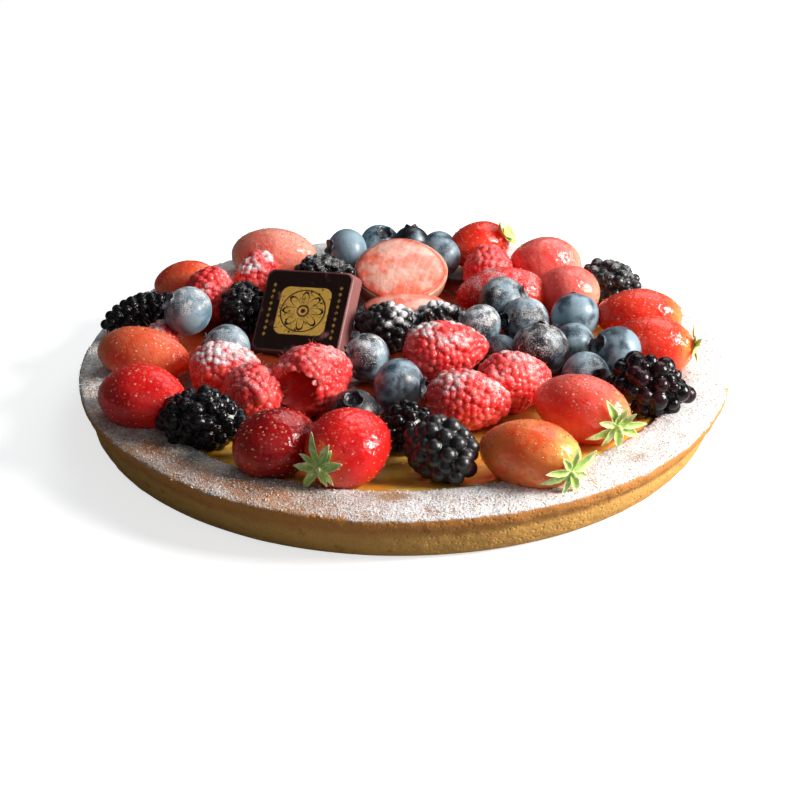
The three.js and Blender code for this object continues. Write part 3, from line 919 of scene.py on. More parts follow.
@dataclass
class Fruit:
    """One fruit. It lies along x, with its stem at -x and its tip at +x, until it is put in its place."""

    number: int
    long: float
    wide: float
    heading: float
    tilt: float
    finish: Finish

    KIND: ClassVar[str]
    SLOT: ClassVar[Slot]

    @property
    def node(self) -> str:
        """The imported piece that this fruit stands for."""
        return f"{self.KIND}_{self.number:02d}"

    @property
    def rng(self) -> np.random.Generator:
        """Random draws that are the same each time for this fruit."""
        return np.random.default_rng([len(self.KIND), self.number])

    def turn(self) -> Array:
        """The rotation that tips the axis up by the tilt and then turns it to the heading."""
        return about(2, math.radians(self.heading)) @ about(1, -math.radians(self.tilt))

    def placed(self, surface: Surface, part: str, kit: "Kit") -> tuple[Array, Array]:
        """Turns the fruit's surface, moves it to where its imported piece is, and shows it in place of that piece.

        Args:
            surface: The fruit's surface, with its middle at the origin.
            part: What the surface is, for its name.
            kit: What the fruit share.

        Returns:
            The rotation and the shift. Across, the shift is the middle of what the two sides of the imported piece
            ask for, and upwards, what its top asks for.
        """
        turn = self.turn()
        turned = surface.turned(turn)
        low, high = (np.array(corner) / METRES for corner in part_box(self.node))
        points = np.concatenate([turned.points, self.packed_leaves() @ turn.T])
        at_low, at_high = low - points.min(0), high - points.max(0)
        shift = np.array([(at_low[0] + at_high[0]) / 2, (at_low[1] + at_high[1]) / 2, at_high[2]])
        finish = self.finish.made(kit.effects)
        turned.moved(shift).shown(f"{self.node}_{part}", finish, self.SLOT, self.node)
        return turn, shift

    def packed_leaves(self) -> Array:
        """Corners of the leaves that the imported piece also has, before it is turned."""
        return np.zeros((1, 3))

    def meridian(self, inset: float, count: int) -> Array:
        """The outline from stem to tip at even distances, as rows of x and radius."""
        v = np.linspace(0, 1, 400)
        along = (1 - np.cos(np.pi * v)) / 2
        radius = (self.wide / 2 - inset) * self.outline(along)
        return evenly(np.stack([(along - 0.5) * (self.long - 2 * inset), radius], axis=-1), count)

    def outline(self, along: Array) -> Array:
        """The radius at each place along the axis, as a share of the widest."""
        return np.sqrt(np.maximum(0, 1 - (2 * along - 1) ** 2))

    def skin(self, inset: float, rows: int, sides: int) -> Surface:
        """The smooth body: the outline turned about the axis.

        Args:
            inset: How far the body lies inside the fruit's full size.
            rows: How many rings of points it has.
            sides: How many points a ring has.

        Returns:
            The surface. Its value "along" is the place from stem to tip, from 0 to 1.
        """
        line = self.meridian(inset, rows + 2)
        angle = ring_angles(sides)
        x, radius = line[1:-1, :1], line[1:-1, 1:]
        along = np.clip(x / self.long + 0.5, 0, 1) + 0 * angle
        poles = [np.array([line[i, 0], 0, 0]) for i in (0, -1)]
        return Surface.capped(rings_about_x(x, radius, angle), *poles, along=along)

    def rows_of_spots(self, inset: float, pitch: float) -> tuple[Array, Array]:
        """Places all over the body at even distances: staggered rings with a little disorder.

        Args:
            inset: How far the body lies inside the fruit's full size.
            pitch: The distance between neighbours.

        Returns:
            The places, and the directions out of the body there.
        """
        fine = self.meridian(inset, 600)
        length = np.concatenate([[0], np.cumsum(np.linalg.norm(np.diff(fine, axis=0), axis=1))])
        rows = max(4, round(length[-1] / (0.87 * pitch)))
        rng, places, ways, phase = self.rng, [], [], 0.0
        for row in range(rows):
            at = (row + 0.5) / rows * length[-1]
            x, radius = (np.interp(at, length, fine[:, i]) for i in (0, 1))
            ahead, behind = (
                np.array([np.interp(at + d, length, fine[:, i]) for i in (0, 1)]) for d in (0.3, -0.3)
            )
            slope = (ahead - behind) / np.linalg.norm(ahead - behind)
            count = max(3, round(TAU * radius / pitch))
            phase += 0.5
            jitter = rng.uniform(-0.26, 0.26, (count, 2))
            angle = TAU * (np.arange(count) + phase + jitter[:, 0]) / count
            x_there, out = x + jitter[:, 1] * pitch, -slope[1] + 0 * angle
            places.append(np.stack([x_there, radius * np.cos(angle), radius * np.sin(angle)], axis=-1))
            ways.append(np.stack([out, slope[0] * np.cos(angle), slope[0] * np.sin(angle)], axis=-1))
        return np.concatenate(places), np.concatenate(ways)


@dataclass
class Calyx:
    """The leaves of a strawberry's stem end, in a star round the stub of the stalk.

    It is built round the x axis, with the fruit below it, and then turned to face the way given.
    """

    seed: int
    azimuth: float
    elevation: float
    count: int = 9
    length: float = 8.2
    width: float = 2.7
    bend: float = 10.0
    stalk_length: float = 2.6

    LEAF_STEPS = 24
    LEAF_SIDES = 14
    STALK_STEPS = 9
    STALK_SIDES = 12
    STALK_RADIUS = 0.75
    STALK_PALENESS = 0.35

    def facing(self) -> Array:
        """The direction that the star faces."""
        return towards(self.azimuth, self.elevation)

    def _leaf(self, index: int) -> Surface:
        """One pointed leaf: a lens-shaped section carried outwards along a line that falls away as a circle of
        radius bend does and curls back up. Its half width follows sin(pi (0.14 + 0.86 t)), and it is folded along
        its middle.

        Args:
            index: Which leaf of the star it is.

        Returns:
            The leaf, turned to its place in the star.
        """
        rng = np.random.default_rng([self.seed, index])
        out = np.linspace(0.02, 0.99, self.LEAF_STEPS)[:, None]
        section = ring_angles(self.LEAF_SIDES)
        far = 0.4 + self.length * rng.uniform(0.66, 1.2) * out
        half = self.width / 2 * rng.uniform(0.8, 1.15) * np.sin(np.pi * (0.14 + 0.855 * out)) ** 0.85
        half = half * (1 + 0.07 * np.sin(21 * out + index))
        curl = rng.uniform(0.2, 4.6)
        height = 0.45 - 0.8 * far**2 / (2 * self.bend) + curl * out**1.8 + 0.2 * np.sin(1.7 * index + 6 * out)
        fold = (0.75 * np.abs(np.cos(section)) - 0.3) * half * np.sin(np.pi * out) ** 0.5
        sway = rng.uniform(-1.4, 1.4) * out**2 + half * np.cos(section)
        grid = np.stack([height + 0.16 * np.sin(section) + fold, far + 0 * section, sway], axis=-1)
        margin = np.abs(np.cos(section)) ** 4 + 0.9 * out**5 + 0.4 * (np.abs(np.cos(section)) < 0.15)
        leaf = Surface.capped(grid, grid[0].mean(0), grid[-1].mean(0), margin=np.clip(margin, 0, 1))
        return leaf.turned(about(0, TAU * (index + rng.uniform(-0.4, 0.4)) / self.count))

    def _stalk(self) -> Surface:
        """The stub of the stalk on its round base: a round section that narrows outwards and bends aside as out
        squared."""
        out = np.linspace(0, 1, self.STALK_STEPS)[:, None]
        radius = self.STALK_RADIUS + (1 - out) ** 4
        grid = rings_about_x(self.stalk_length * out - 0.5, radius, ring_angles(self.STALK_SIDES))
        grid += (out**2)[:, :, None] * [0, 0.4, -0.5]
        margin = np.full(grid.shape[:2], self.STALK_PALENESS)
        return Surface.capped(grid, grid[0].mean(0), grid[-1].mean(0), margin=margin)

    def surface(self) -> Surface:
        """All the leaves and the stalk."""
        return Surface.joined([self._leaf(index) for index in range(self.count)] + [self._stalk()])


@dataclass
class Strawberry(Fruit):
    """A small glazed strawberry with seeds in pits, and leaves where its stem end shows."""

    calyx: Calyx | None = None
    packed: int = 0
    halved: bool = False

    KIND = "strawberry"
    SLOT = Slot.STRAWBERRY
    ROWS = 88
    SIDES = 124
    PITCH = 3.05
    PIT_DEPTH = 0.22
    PIT_RADIUS = 0.54
    SEED_DEPTH = 0.08
    OUT_OF_REACH = 13.0
    CUT_SIDES = 60
    CUT_ROWS = 108
    CROWN = 3.0

    def outline(self, along: Array) -> Array:
        """A little broader at the stem than at its blunt tip: sin(pi along^0.93)^0.49."""
        return np.maximum(0, np.sin(np.pi * along**0.93)) ** 0.49

    def packed_leaves(self) -> Array:
        """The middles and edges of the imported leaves' tops, each row from the stem to the point."""
        points = [np.zeros((1, 3))]
        for i in range(self.packed):
            out, side = (a.ravel() for a in np.meshgrid([0, 0.5, 1.0], [-0.5, 0.5]))
            along = 0.015 + 0.32 * (0.85 + 0.2 * math.sin(2.3 * i)) * out**1.6
            half = 0.22 * self.wide * np.sin(np.pi * (0.2 + 0.75 * out))
            lift = 0.7 * (0.6 + 1.7 * out**3 + 0.3 * np.sin(1.7 * i + 5 * out))
            radial = self.wide / 2 * self.outline(along) + lift
            wrap = 2 * side * half / np.maximum(radial, 3) - TAU * i / self.packed - 0.25 * math.sin(4.1 * i)
            x = (along - 0.5) * self.long - lift
            points.append(np.stack([x, radial * np.sin(wrap), radial * np.cos(wrap)], axis=-1))
        return np.concatenate(points)

    def swell(self, points: Array) -> Array:
        """How much wider the fruit is on some sides: two slow waves round the axis."""
        angle = np.arctan2(points[:, 2], points[:, 1])
        return 1 + 0.03 * np.sin(3 * angle + self.heading) + 0.03 * np.sin(2 * angle - self.heading)

    def built(self, kit: "Kit") -> None:
        """Makes the body with its pits, its seeds and its leaves.

        Args:
            kit: What the fruit share.
        """
        if self.halved:
            self._halved(kit)
            return
        body = self.skin(0, self.ROWS, self.SIDES)
        spots, ways = self.rows_of_spots(0, self.PITCH)
        spots[:, 1:] *= self.swell(spots)[:, None]
        body.points[:, 1:] *= self.swell(body.points)[:, None]
        body.points[:, 1:] *= (1 + 0.02 * kit.relief.at(body.points + 31 * self.number, 7.0, 2))[:, None]
        apart = np.min([np.linalg.norm(body.points - spot, axis=1) for spot in spots], axis=0)
        pit = np.exp(-((apart / self.PIT_RADIUS) ** 2))
        body.values["pit"] = pit
        body.points = body.points - body.normals() * (self.PIT_DEPTH * pit)[:, None]
        turn, shift = self.placed(body, "skin", kit)
        self._seeds(spots, ways, turn, shift, kit)
        if self.calyx:
            facing = self.calyx.facing()
            half = np.array([self.long, self.wide, self.wide]) / 2
            along_axes = half * (facing @ turn)
            root = turn @ (half * along_axes / np.linalg.norm(along_axes)) + shift
            self.calyx.surface().turned(frames_along(facing[None], np.zeros(1))[0]).moved(root).shown(
                self.node + "_leaves", kit.leaf, self.SLOT
            )

    def _seeds(self, spots: Array, ways: Array, turn: Array, shift: Array, kit: "Kit") -> None:
        """One seed in each pit that can be seen.

        Args:
            spots: The pits' middles on the unturned body.
            ways: The directions out of the body there.
            turn: The fruit's rotation.
            shift: The fruit's shift.
            kit: What the fruit share.
        """
        places = (spots - ways * self.SEED_DEPTH) @ turn.T + shift
        ways = ways @ turn.T
        seen = (places[:, 2] > self.OUT_OF_REACH) & (ways[:, 2] > -0.6)
        count = int(seen.sum())
        rng = self.rng
        lengthwise = np.cross(np.cross(ways[seen], turn[:, 0]), ways[seen])
        lengthwise /= np.linalg.norm(lengthwise, axis=1, keepdims=True)
        side = np.cross(ways[seen], lengthwise)
        frames = np.stack([lengthwise, side, ways[seen]], axis=-1)
        sizes = np.array([0.36, 0.2, 0.16]) * rng.uniform(0.7, 1.2, (count, 1))
        seeds = pebble(6, 3).scattered(places[seen], frames, sizes)
        seeds.shown(self.node + "_seeds", kit.seed, self.SLOT)

    def _halved(self, kit: "Kit") -> None:
        """Makes the lower half of the body, closed above, and a cut face on it.

        The face's outline shrinks to its middle and rises there to the crown: crown (1 - share^2.4)^0.75.

        Args:
            kit: What the fruit share.
        """
        line = self.meridian(0, self.CUT_ROWS + 2)[1:-1]
        angle = np.pi + np.pi * np.arange(self.CUT_SIDES + 1)[None] / self.CUT_SIDES
        points = rings_about_x(line[:, :1], line[:, 1:], angle)
        points[..., 1:] *= self.swell(points.reshape(-1, 3)).reshape(len(line), -1, 1)
        closed = np.concatenate([points, points[:, ::-1] * [1, 1, 0]], axis=1)
        poles = [np.array([line[i, 0], 0, 0]) for i in (0, -1)]
        along = np.broadcast_to(line[:, :1] / self.long + 0.5, closed.shape[:2])
        under = Surface.capped(closed, *poles, along=along, pit=np.zeros(closed.shape[:2]))
        turn, shift = self.placed(under, "skin", kit)
        edge = np.concatenate([line[::-1], line * [1, -1]]) * [0.99, 0.985]
        share = np.linspace(0.992, 0.04, 46)[:, None]
        x, y = share * edge[:, 0], share * edge[:, 1]
        crown = self.CROWN * np.maximum(0, 1 - share**2.4) ** 0.75 + 0.1
        relief = kit.relief.at(np.stack([x, y, np.full(x.shape, self.number * 9.0)], axis=-1), 2.4, 2)
        grid = np.stack([x, y, crown + 0.12 * relief], axis=-1)
        ahead = x / (self.long / 2)
        ray = np.arcsin(np.clip(y / (self.wide / 2), -1, 1)) * (3.4 - 1.2 * ahead) + 0.9 * ahead
        below, above = np.array([0, 0, -0.4]), np.array([0, 0, self.CROWN + 0.1])
        face = Surface.capped(grid, below, above, ray=ray, reach=np.broadcast_to(share, x.shape))
        face.turned(turn).moved(shift).shown(self.node + "_cut_face", kit.cut.made(kit.effects), self.SLOT)


@dataclass
class Drupes(Fruit):
    """A fruit made of many small drupelets: each is a ball, and only the outermost skin of all is kept."""

    pitch: float = 2.5
    uneven: float = 0.11

    INSET = 0.22
    BALL = 0.56
    ROWS = 104
    SIDES = 156

    def packed(self, kit: "Kit") -> tuple[Surface, Array, Array]:
        """The skin over all drupelets: from each point of the smooth body, out to the furthest ball.

        Args:
            kit: What the fruit share.

        Returns:
            The surface, and the places and outward directions of the drupelets.
        """
        pitch, rng = self.pitch, self.rng
        inset = (self.BALL - self.INSET) * pitch
        body = self.skin(inset, self.ROWS, self.SIDES)
        normals = body.normals()
        spots, ways = self.rows_of_spots(inset, pitch)
        balls = self.BALL * pitch * rng.uniform(0.99 - self.uneven, 0.99 + self.uneven, len(spots))
        centres = spots - ways * (self.INSET * pitch)
        floor = -0.06 * pitch
        reach = np.full(len(body.points), floor)
        for centre, ball in zip(centres, balls):
            apart = centre - body.points
            ahead = np.einsum("ij,ij->i", apart, normals)
            squared = np.einsum("ij,ij->i", apart, apart)
            inside = ball**2 - squared + ahead**2
            near = (inside > 0) & (squared < 4 * ball**2)
            reach[near] = np.maximum(reach[near], ahead[near] + np.sqrt(inside[near]))
        body.values["rise"] = np.clip((reach - floor) / (inset - floor), 0, 1)
        body.values["inner"] = np.zeros(len(reach))
        lie = smooth_step((normals @ self.turn().T)[:, 2], 0.1, 0.8)
        patches = kit.relief.at(body.points + 23 * self.number, 6.0, 3)
        body.values["dust"] = lie * smooth_step(patches, -0.5, 0.35)
        slump = 1 + 0.025 * kit.relief.at(body.points + 17 * self.number, 9.0)
        body.points = (body.points + normals * reach[:, None]) * slump[:, None]
        return body, spots, ways

    def built(self, kit: "Kit") -> None:
        """Makes the fruit."""
        body, spots, ways = self.packed(kit)
        turn, shift = self.placed(body, "drupelets", kit)
        self.extras(spots @ turn.T + shift, ways @ turn.T, kit)

    def extras(self, spots: Array, ways: Array, kit: "Kit") -> None:
        """What else this kind of fruit carries."""


@dataclass
class Raspberry(Drupes):
    """A raspberry, with a few short hairs. A hollow one shows the smooth pit that its core left."""

    hollow: bool = False

    KIND = "raspberry"
    SLOT = Slot.RASPBERRY
    INSET = 0.42
    BALL = 0.71
    ROWS = 126
    SIDES = 190
    HAIRS = 30
    HAIRS_FROM = 16.0
    HAIR_LIFT = 0.9

    def outline(self, along: Array) -> Array:
        """A thimble: broad at the stem end and round at the tip, sin(pi along^0.76)^0.5."""
        return np.maximum(0, np.sin(np.pi * along**0.76)) ** 0.5

    def packed(self, kit: "Kit") -> tuple[Surface, Array, Array]:
        """The drupelets' skin, with the pit pressed into the stem end of a hollow fruit."""
        body, spots, ways = super().packed(kit)
        if self.hollow:
            self._hollowed(body)
        return body, spots, ways

    def _hollowed(self, body: Surface) -> None:
        """Turns the stem end in: what lies within the mouth goes down the axis along a round-ended pit.

        Args:
            body: The fruit's surface, which is changed.
        """
        mouth, deep, aside = 0.26 * self.wide, 0.66 * self.long, 0.15 * self.wide
        radius = np.hypot(body.points[:, 1] + aside, body.points[:, 2] - aside / 3)
        stem = (body.values["along"] < 0.5) & (radius < mouth)
        share = np.clip(radius[stem] / mouth, 0, 1)
        body.points[stem, 0] = body.points[stem, 0] * share**3 - 0.49 * self.long * (1 - share**3)
        body.points[stem, 0] += deep * (1 - share**5) ** 0.5
        body.values["rise"][stem] = 0.5
        body.values["dust"][stem] *= smooth_step(share, 0.85, 1.0)
        body.values["inner"][stem] = 1 - smooth_step(share, 0.9, 1.0)

    def extras(self, spots: Array, ways: Array, kit: "Kit") -> None:
        """Hairs that stand on some of the drupelets that can be seen.

        Args:
            spots: The drupelets' places on the tart.
            ways: The directions out of the fruit there.
            kit: What the fruit share, which gathers the hairs.
        """
        seen = np.flatnonzero((spots[:, 2] > self.HAIRS_FROM) & (ways[:, 2] > -0.1))
        rng = self.rng
        chosen = rng.choice(seen, min(self.HAIRS, len(seen)), replace=False)
        kit.hairs.extend(hair(spots[i] + ways[i] * self.HAIR_LIFT, ways[i], rng) for i in chosen)


@dataclass
class Bramble(Drupes):
    """A bramble: nearly black, with large round drupelets."""

    KIND = "bramble"
    SLOT = Slot.BRAMBLE
    INSET = 0.1
    BALL = 0.53

    def outline(self, along: Array) -> Array:
        """An even barrel with round ends: sin(pi along^0.88)^0.52."""
        return np.maximum(0, np.sin(np.pi * along**0.88)) ** 0.52


@dataclass
class Blueberry(Fruit):
    """A blueberry: a ball that is a little flat, with a crown of five points round a sunken eye at its tip."""

    KIND = "blueberry"
    SLOT = Slot.BLUEBERRY
    SIDES = 70
    POINTS = 5

    def built(self, kit: "Kit") -> None:
        """Makes the fruit: its profile goes from the stem scar round the ball to the crown and down into the
        eye, and the crown's height and flare follow five waves round the axis.

        Args:
            kit: What the fruit share.
        """
        half, radius = self.long / 2, self.wide / 2
        eye = 0.35 * radius
        last = math.asin(eye / radius)
        polar = np.linspace(np.pi - 0.02, last, 44)
        low = [(half * math.cos(p), radius * math.sin(p)) for p in polar]
        top = half * math.cos(last)
        rim_low = ((0.05, 1.0), (0.1, 0.96), (0.0, 0.88), (-0.5, 0.8))
        rim_high = ((0.5, 1.12), (0.85, 1.22), (0.75, 1.08), (0.1, 0.9))
        inner = ((-0.9, 0.7), (-1.0, 0.5), (-0.95, 0.3), (-0.8, 0.16))
        notched, pointed = (
            np.array(low + [(top + up, eye * out) for up, out in (*rim, *inner)]) for rim in (rim_low, rim_high)
        )
        angle = ring_angles(self.SIDES)
        phase = self.rng.uniform(0, TAU)
        lobe = (0.5 + 0.5 * np.cos(self.POINTS * angle + phase)) ** 0.8
        x = notched[:, :1] * (1 - lobe) + pointed[:, :1] * lobe
        ring = notched[:, 1:] * (1 - lobe) + pointed[:, 1:] * lobe
        eyed = np.zeros(x.shape)
        eyed[len(low) :] = 0.75
        eyed[len(low) + len(rim_low) :] = 1.0
        poles = np.array([-half, 0, 0]), np.array([top - 0.75, 0, 0])
        body = Surface.capped(rings_about_x(x, ring, angle), *poles, eye=eyed)
        body.points *= (1 + 0.02 * kit.relief.at(body.points + 13 * self.number, 8.0, 2))[:, None]
        self.placed(body, "skin", kit)


def hair(root: Array, way: Array, rng: np.random.Generator) -> Surface:
    """A short curled hair: a three-sided section carried along an arc that leaves the fruit and bends over.

    Args:
        root: Where it starts.
        way: The direction out of the fruit.
        rng: The random draws.

    Returns:
        The hair.
    """
    length, bend = rng.uniform(1.4, 2.8), rng.uniform(0.8, 2.2)
    side = np.cross(way, rng.normal(size=3))
    side /= np.linalg.norm(side)
    other = np.cross(way, side)
    out = np.linspace(0, 1, 6)[:, None]
    line = root + length * (way * np.sin(bend * out) / bend + side * (1 - np.cos(bend * out)) / bend)
    angle = TAU * np.arange(3) / 3
    thick = 0.075 * (1 - 0.6 * out)
    ring = np.cos(angle)[None, :, None] * other + np.sin(angle)[None, :, None] * np.cross(other, way)
    grid = line[:, None] + thick[:, :, None] * ring
    return Surface.capped(grid, line[0] - way * 0.1, line[-1] + side * 0.05)


@dataclass
class Kit:
    """What the fruit share: relief, node groups, small finishes, and the hairs gathered from all of them."""

    effects: Effects
    relief: Relief
    seed: bpy.types.Material
    leaf: bpy.types.Material
    grain: bpy.types.Material
    cut: CutFinish
    hairs: list[Surface] = field(default_factory=list)


# ----------------------------------------------------------------------------------------------------
# Shell, custard and chocolate
# ----------------------------------------------------------------------------------------------------


@dataclass
class Shell:
    """The shortcrust shell: a profile turned about z, drawn in on one side and a little wavy."""

    rim_radius: float = 110
    rim_width: float = 17
    edge_height: float = 16.4
    crown_height: float = 18
    inner_edge_height: float = 17.2
    foot_radius: float = 103.5
    crease_height: float = 9.8
    base_thickness: float = 5
    wave: float = 0.5
    drawn_in: float = 2.6
    drawn_side: float = 165
    sides: int = 760
    stations: int = 118

    GRAINS = 6000
    SUGARED = 0.25
    # Each spot's angle in degrees, its distance from the middle, its size, and how much sugar it lacks. The spot
    # at
    #     -107 degrees is painted shade on the front-left of the rim; the others are bare patches.
    BARE_SPOTS = (
        (-91, 97.5, 3.0, 0.8),
        (-47.5, 102.5, 3.6, 0.4),
        (-136, 101, 4.6, 0.3),
        (-107, 101, 12.0, 0.3),
    )

    def profile(self) -> Array:
        """The outline from the underside round the foot, side and rim to the floor."""
        rim, foot, inner = self.rim_radius, self.foot_radius, self.rim_radius - self.rim_width
        crease, crown = self.crease_height, self.crown_height
        rows = [
            (foot - 9, 0),
            (foot - 2.5, 0),
            (foot, 1.2),
            (foot + 2.0, crease - 5.2),
            (foot + 3.3, crease - 1.6),
            (foot + 3.4, crease),
            (foot + 4.6, crease + 1.8),
            (foot + 5.9, crease + 3.6),
            (rim, self.edge_height - 0.4),
            (rim - 0.6, self.edge_height + 0.7),
            (rim - 4, crown - 0.2),
            (inner + 5, crown),
            (inner + 0.9, self.inner_edge_height + 0.15),
            (inner - 0.1, self.inner_edge_height - 1.2),
            (inner - 0.6, self.base_thickness + 1),
            (inner - 1.6, self.base_thickness),
        ]
        return evenly(rounded(rows, 3), self.stations)

    def waved(self, points: Array) -> Array:
        """Points moved as the baked shell wanders: slow waves and one drawn-in side, none at the foot."""
        radius = np.hypot(points[..., 0], points[..., 1])
        angle = np.arctan2(points[..., 1], points[..., 0])
        slow = 0.5 * np.sin(3 * angle + 0.6) + 0.3 * np.sin(7 * angle + 2.1) + 0.2 * np.sin(13 * angle + 4)
        drawn = (0.5 + 0.5 * np.cos(angle - math.radians(self.drawn_side))) ** 3
        share = smooth_step(points[..., 2], 0, self.crease_height)
        grown = 1 + share * (self.wave * slow - self.drawn_in * drawn) / radius
        lifted = points[..., 2] + 0.35 * share * self.wave * np.sin(5 * angle + 1)
        return np.stack([points[..., 0] * grown, points[..., 1] * grown, lifted], axis=-1)

    def sugar_fall(self, angle: Array, radius: Array, relief: Array) -> Array:
        """How much icing sugar lies on the rim: thick at the right and back, and thin in a few spots. Less sugar
        at the left and front-left lets the darker crust show there as painted shade.

        Args:
            angle: The angle of each point, from +x.
            radius: The distance from the middle.
            relief: Random relief at each point.

        Returns:
            The amount, from 0 to 1 or a little more.
        """
        # Painted shade: less sugar on the left and at the front-left darkens the rim there.
        left = 0.5 - 0.5 * np.cos(angle - math.radians(20))
        shaded = np.exp(-(((np.degrees(angle) + 132) / 36) ** 2))
        amount = 0.94 - 0.1 * left**2 - 0.34 * shaded + 0.12 * relief
        for at, out, size, depth in self.BARE_SPOTS:
            away = np.hypot((angle - math.radians(at)) * radius * 0.6, radius - out)
            amount = amount - depth * np.exp(-((away / size) ** 2))
        return amount

    def built(self, kit: Kit) -> None:
        """Makes the shell: its waved profile, with low lumps along its normals, and sugar on its rim.

        Args:
            kit: What the fruit share.
        """
        line = self.profile()
        angle = ring_angles(self.sides)
        grid = self.waved(rings(line[:, 1:], line[:, :1], angle))
        station = np.linspace(0, 1, len(line))[:, None] + 0 * angle
        floor = np.array([0, 0, self.base_thickness])
        surface = Surface.capped(grid, np.zeros(3), floor, station=station)
        normals = surface.normals()
        points = surface.points
        above = smooth_step(points[:, 2], 0.3, 3.0)
        lumps = 0.28 * kit.relief.at(points, 6.5, 2) + 0.12 * kit.relief.at(points + 50, 1.6, 2)
        surface.points = points + normals * (above * (lumps - 0.12))[:, None]
        at, out = np.arctan2(points[:, 1], points[:, 0]), np.hypot(points[:, 0], points[:, 1])
        fall = self.sugar_fall(at, out, kit.relief.at(points + 90, 9.0, 3))
        ragged = 0.85 * kit.relief.at(points + 20, 3.5, 3)
        edge = smooth_step(points[:, 2] + ragged, self.edge_height - 0.9, self.edge_height + 0.5)
        outer = (out > 70) * (normals[:, 2] > -0.2)
        surface.values["sugar"] = fall * edge * outer
        surface.shown("shell", CrustFinish("Shortcrust", 0.72).made(kit.effects), Slot.CRUST, "crust")
        self._grains(surface, kit)

    def _grains(self, surface: Surface, kit: Kit) -> None:
        """Coarse grains of sugar on the rim: pebbles of random size at random points where sugar lies."""
        rng, normals = np.random.default_rng(71), surface.normals()
        lying = np.flatnonzero((surface.values["sugar"] > self.SUGARED) & (normals[:, 2] > 0.7))
        chosen = rng.choice(lying, self.GRAINS)
        places = surface.points[chosen] + rng.uniform(-0.5, 0.5, (self.GRAINS, 3)) * [1, 1, 0]
        frames = frames_along(normals[chosen], rng.uniform(0, TAU, self.GRAINS))
        sizes = rng.uniform(0.1, 0.3, (self.GRAINS, 1)) * rng.uniform(0.7, 1.2, (self.GRAINS, 3))
        pebble(5, 2).scattered(places, frames, sizes).shown("rim_sugar_grains", kit.grain, Slot.CRUST)


@dataclass
class Custard:
    """The custard: a disc whose top is a little uneven and glazed, and whose edge lies against the shell."""

    shell: Shell
    under_radius: float = 89.0
    radius: float = 92.3
    floor: float = 5.3
    height: float = 14
    sides: int = 260
    rings: int = 84

    CLIMB = 1.5
    CLEAN_SPOT = 15.0

    def built(self, kit: Kit) -> None:
        """Makes the disc: rings go out under it, up its side, and back over its top to the middle.

        Args:
            kit: What the fruit share.
        """
        under = [(4 + (self.under_radius - 4) * t, self.floor) for t in np.linspace(0, 1, 8)]
        wider, higher = self.radius - self.under_radius, self.height - 0.6 - self.floor
        side = [(self.under_radius + wider * t, self.floor + higher * t) for t in (0.33, 0.66, 1)]
        top = [(self.radius * t, self.height) for t in np.linspace(0.992, 0.02, self.rings)]
        line = np.array(under + side + top)
        grid = rings(line[:, 1:], line[:, :1], ring_angles(self.sides))
        grid[..., :2] = self.shell.waved(grid)[..., :2]
        lift = smooth_step(grid[..., 2], self.height - 0.7, self.height)
        grid[..., 2] += lift * 0.35 * kit.relief.at(grid, 8.0, 3)
        middle = np.array([0, 0, 1.0])
        # Painted shade: the custard darkens towards the middle, where it lies between the fruit, but not in one
        # spot at the front.
        out = np.hypot(grid[..., 0] + 8, grid[..., 1] - 12) + 4 * kit.relief.at(grid + 60, 14.0, 2)
        unshaded = np.exp(-((grid[..., 0] - 25) ** 2 + (grid[..., 1] + 62) ** 2) / self.CLEAN_SPOT**2)
        juice = (1 - smooth_step(out, 70, 86)) * (1 - unshaded)
        grid[..., 2] += lift * self.CLIMB * smooth_step(np.hypot(grid[..., 0], grid[..., 1]), 80, 91)
        disc = Surface.capped(grid, middle * self.floor, middle * self.height, juice=juice)
        finish = CustardFinish(
            "Custard", 0.25, 1.0, 0.06, subsurface=0.15, subsurface_radius=(0.003, 0.0018, 0.0006)
        )
        disc.shown("custard_filling", finish.made(kit.effects), Slot.CUSTARD, "custard")


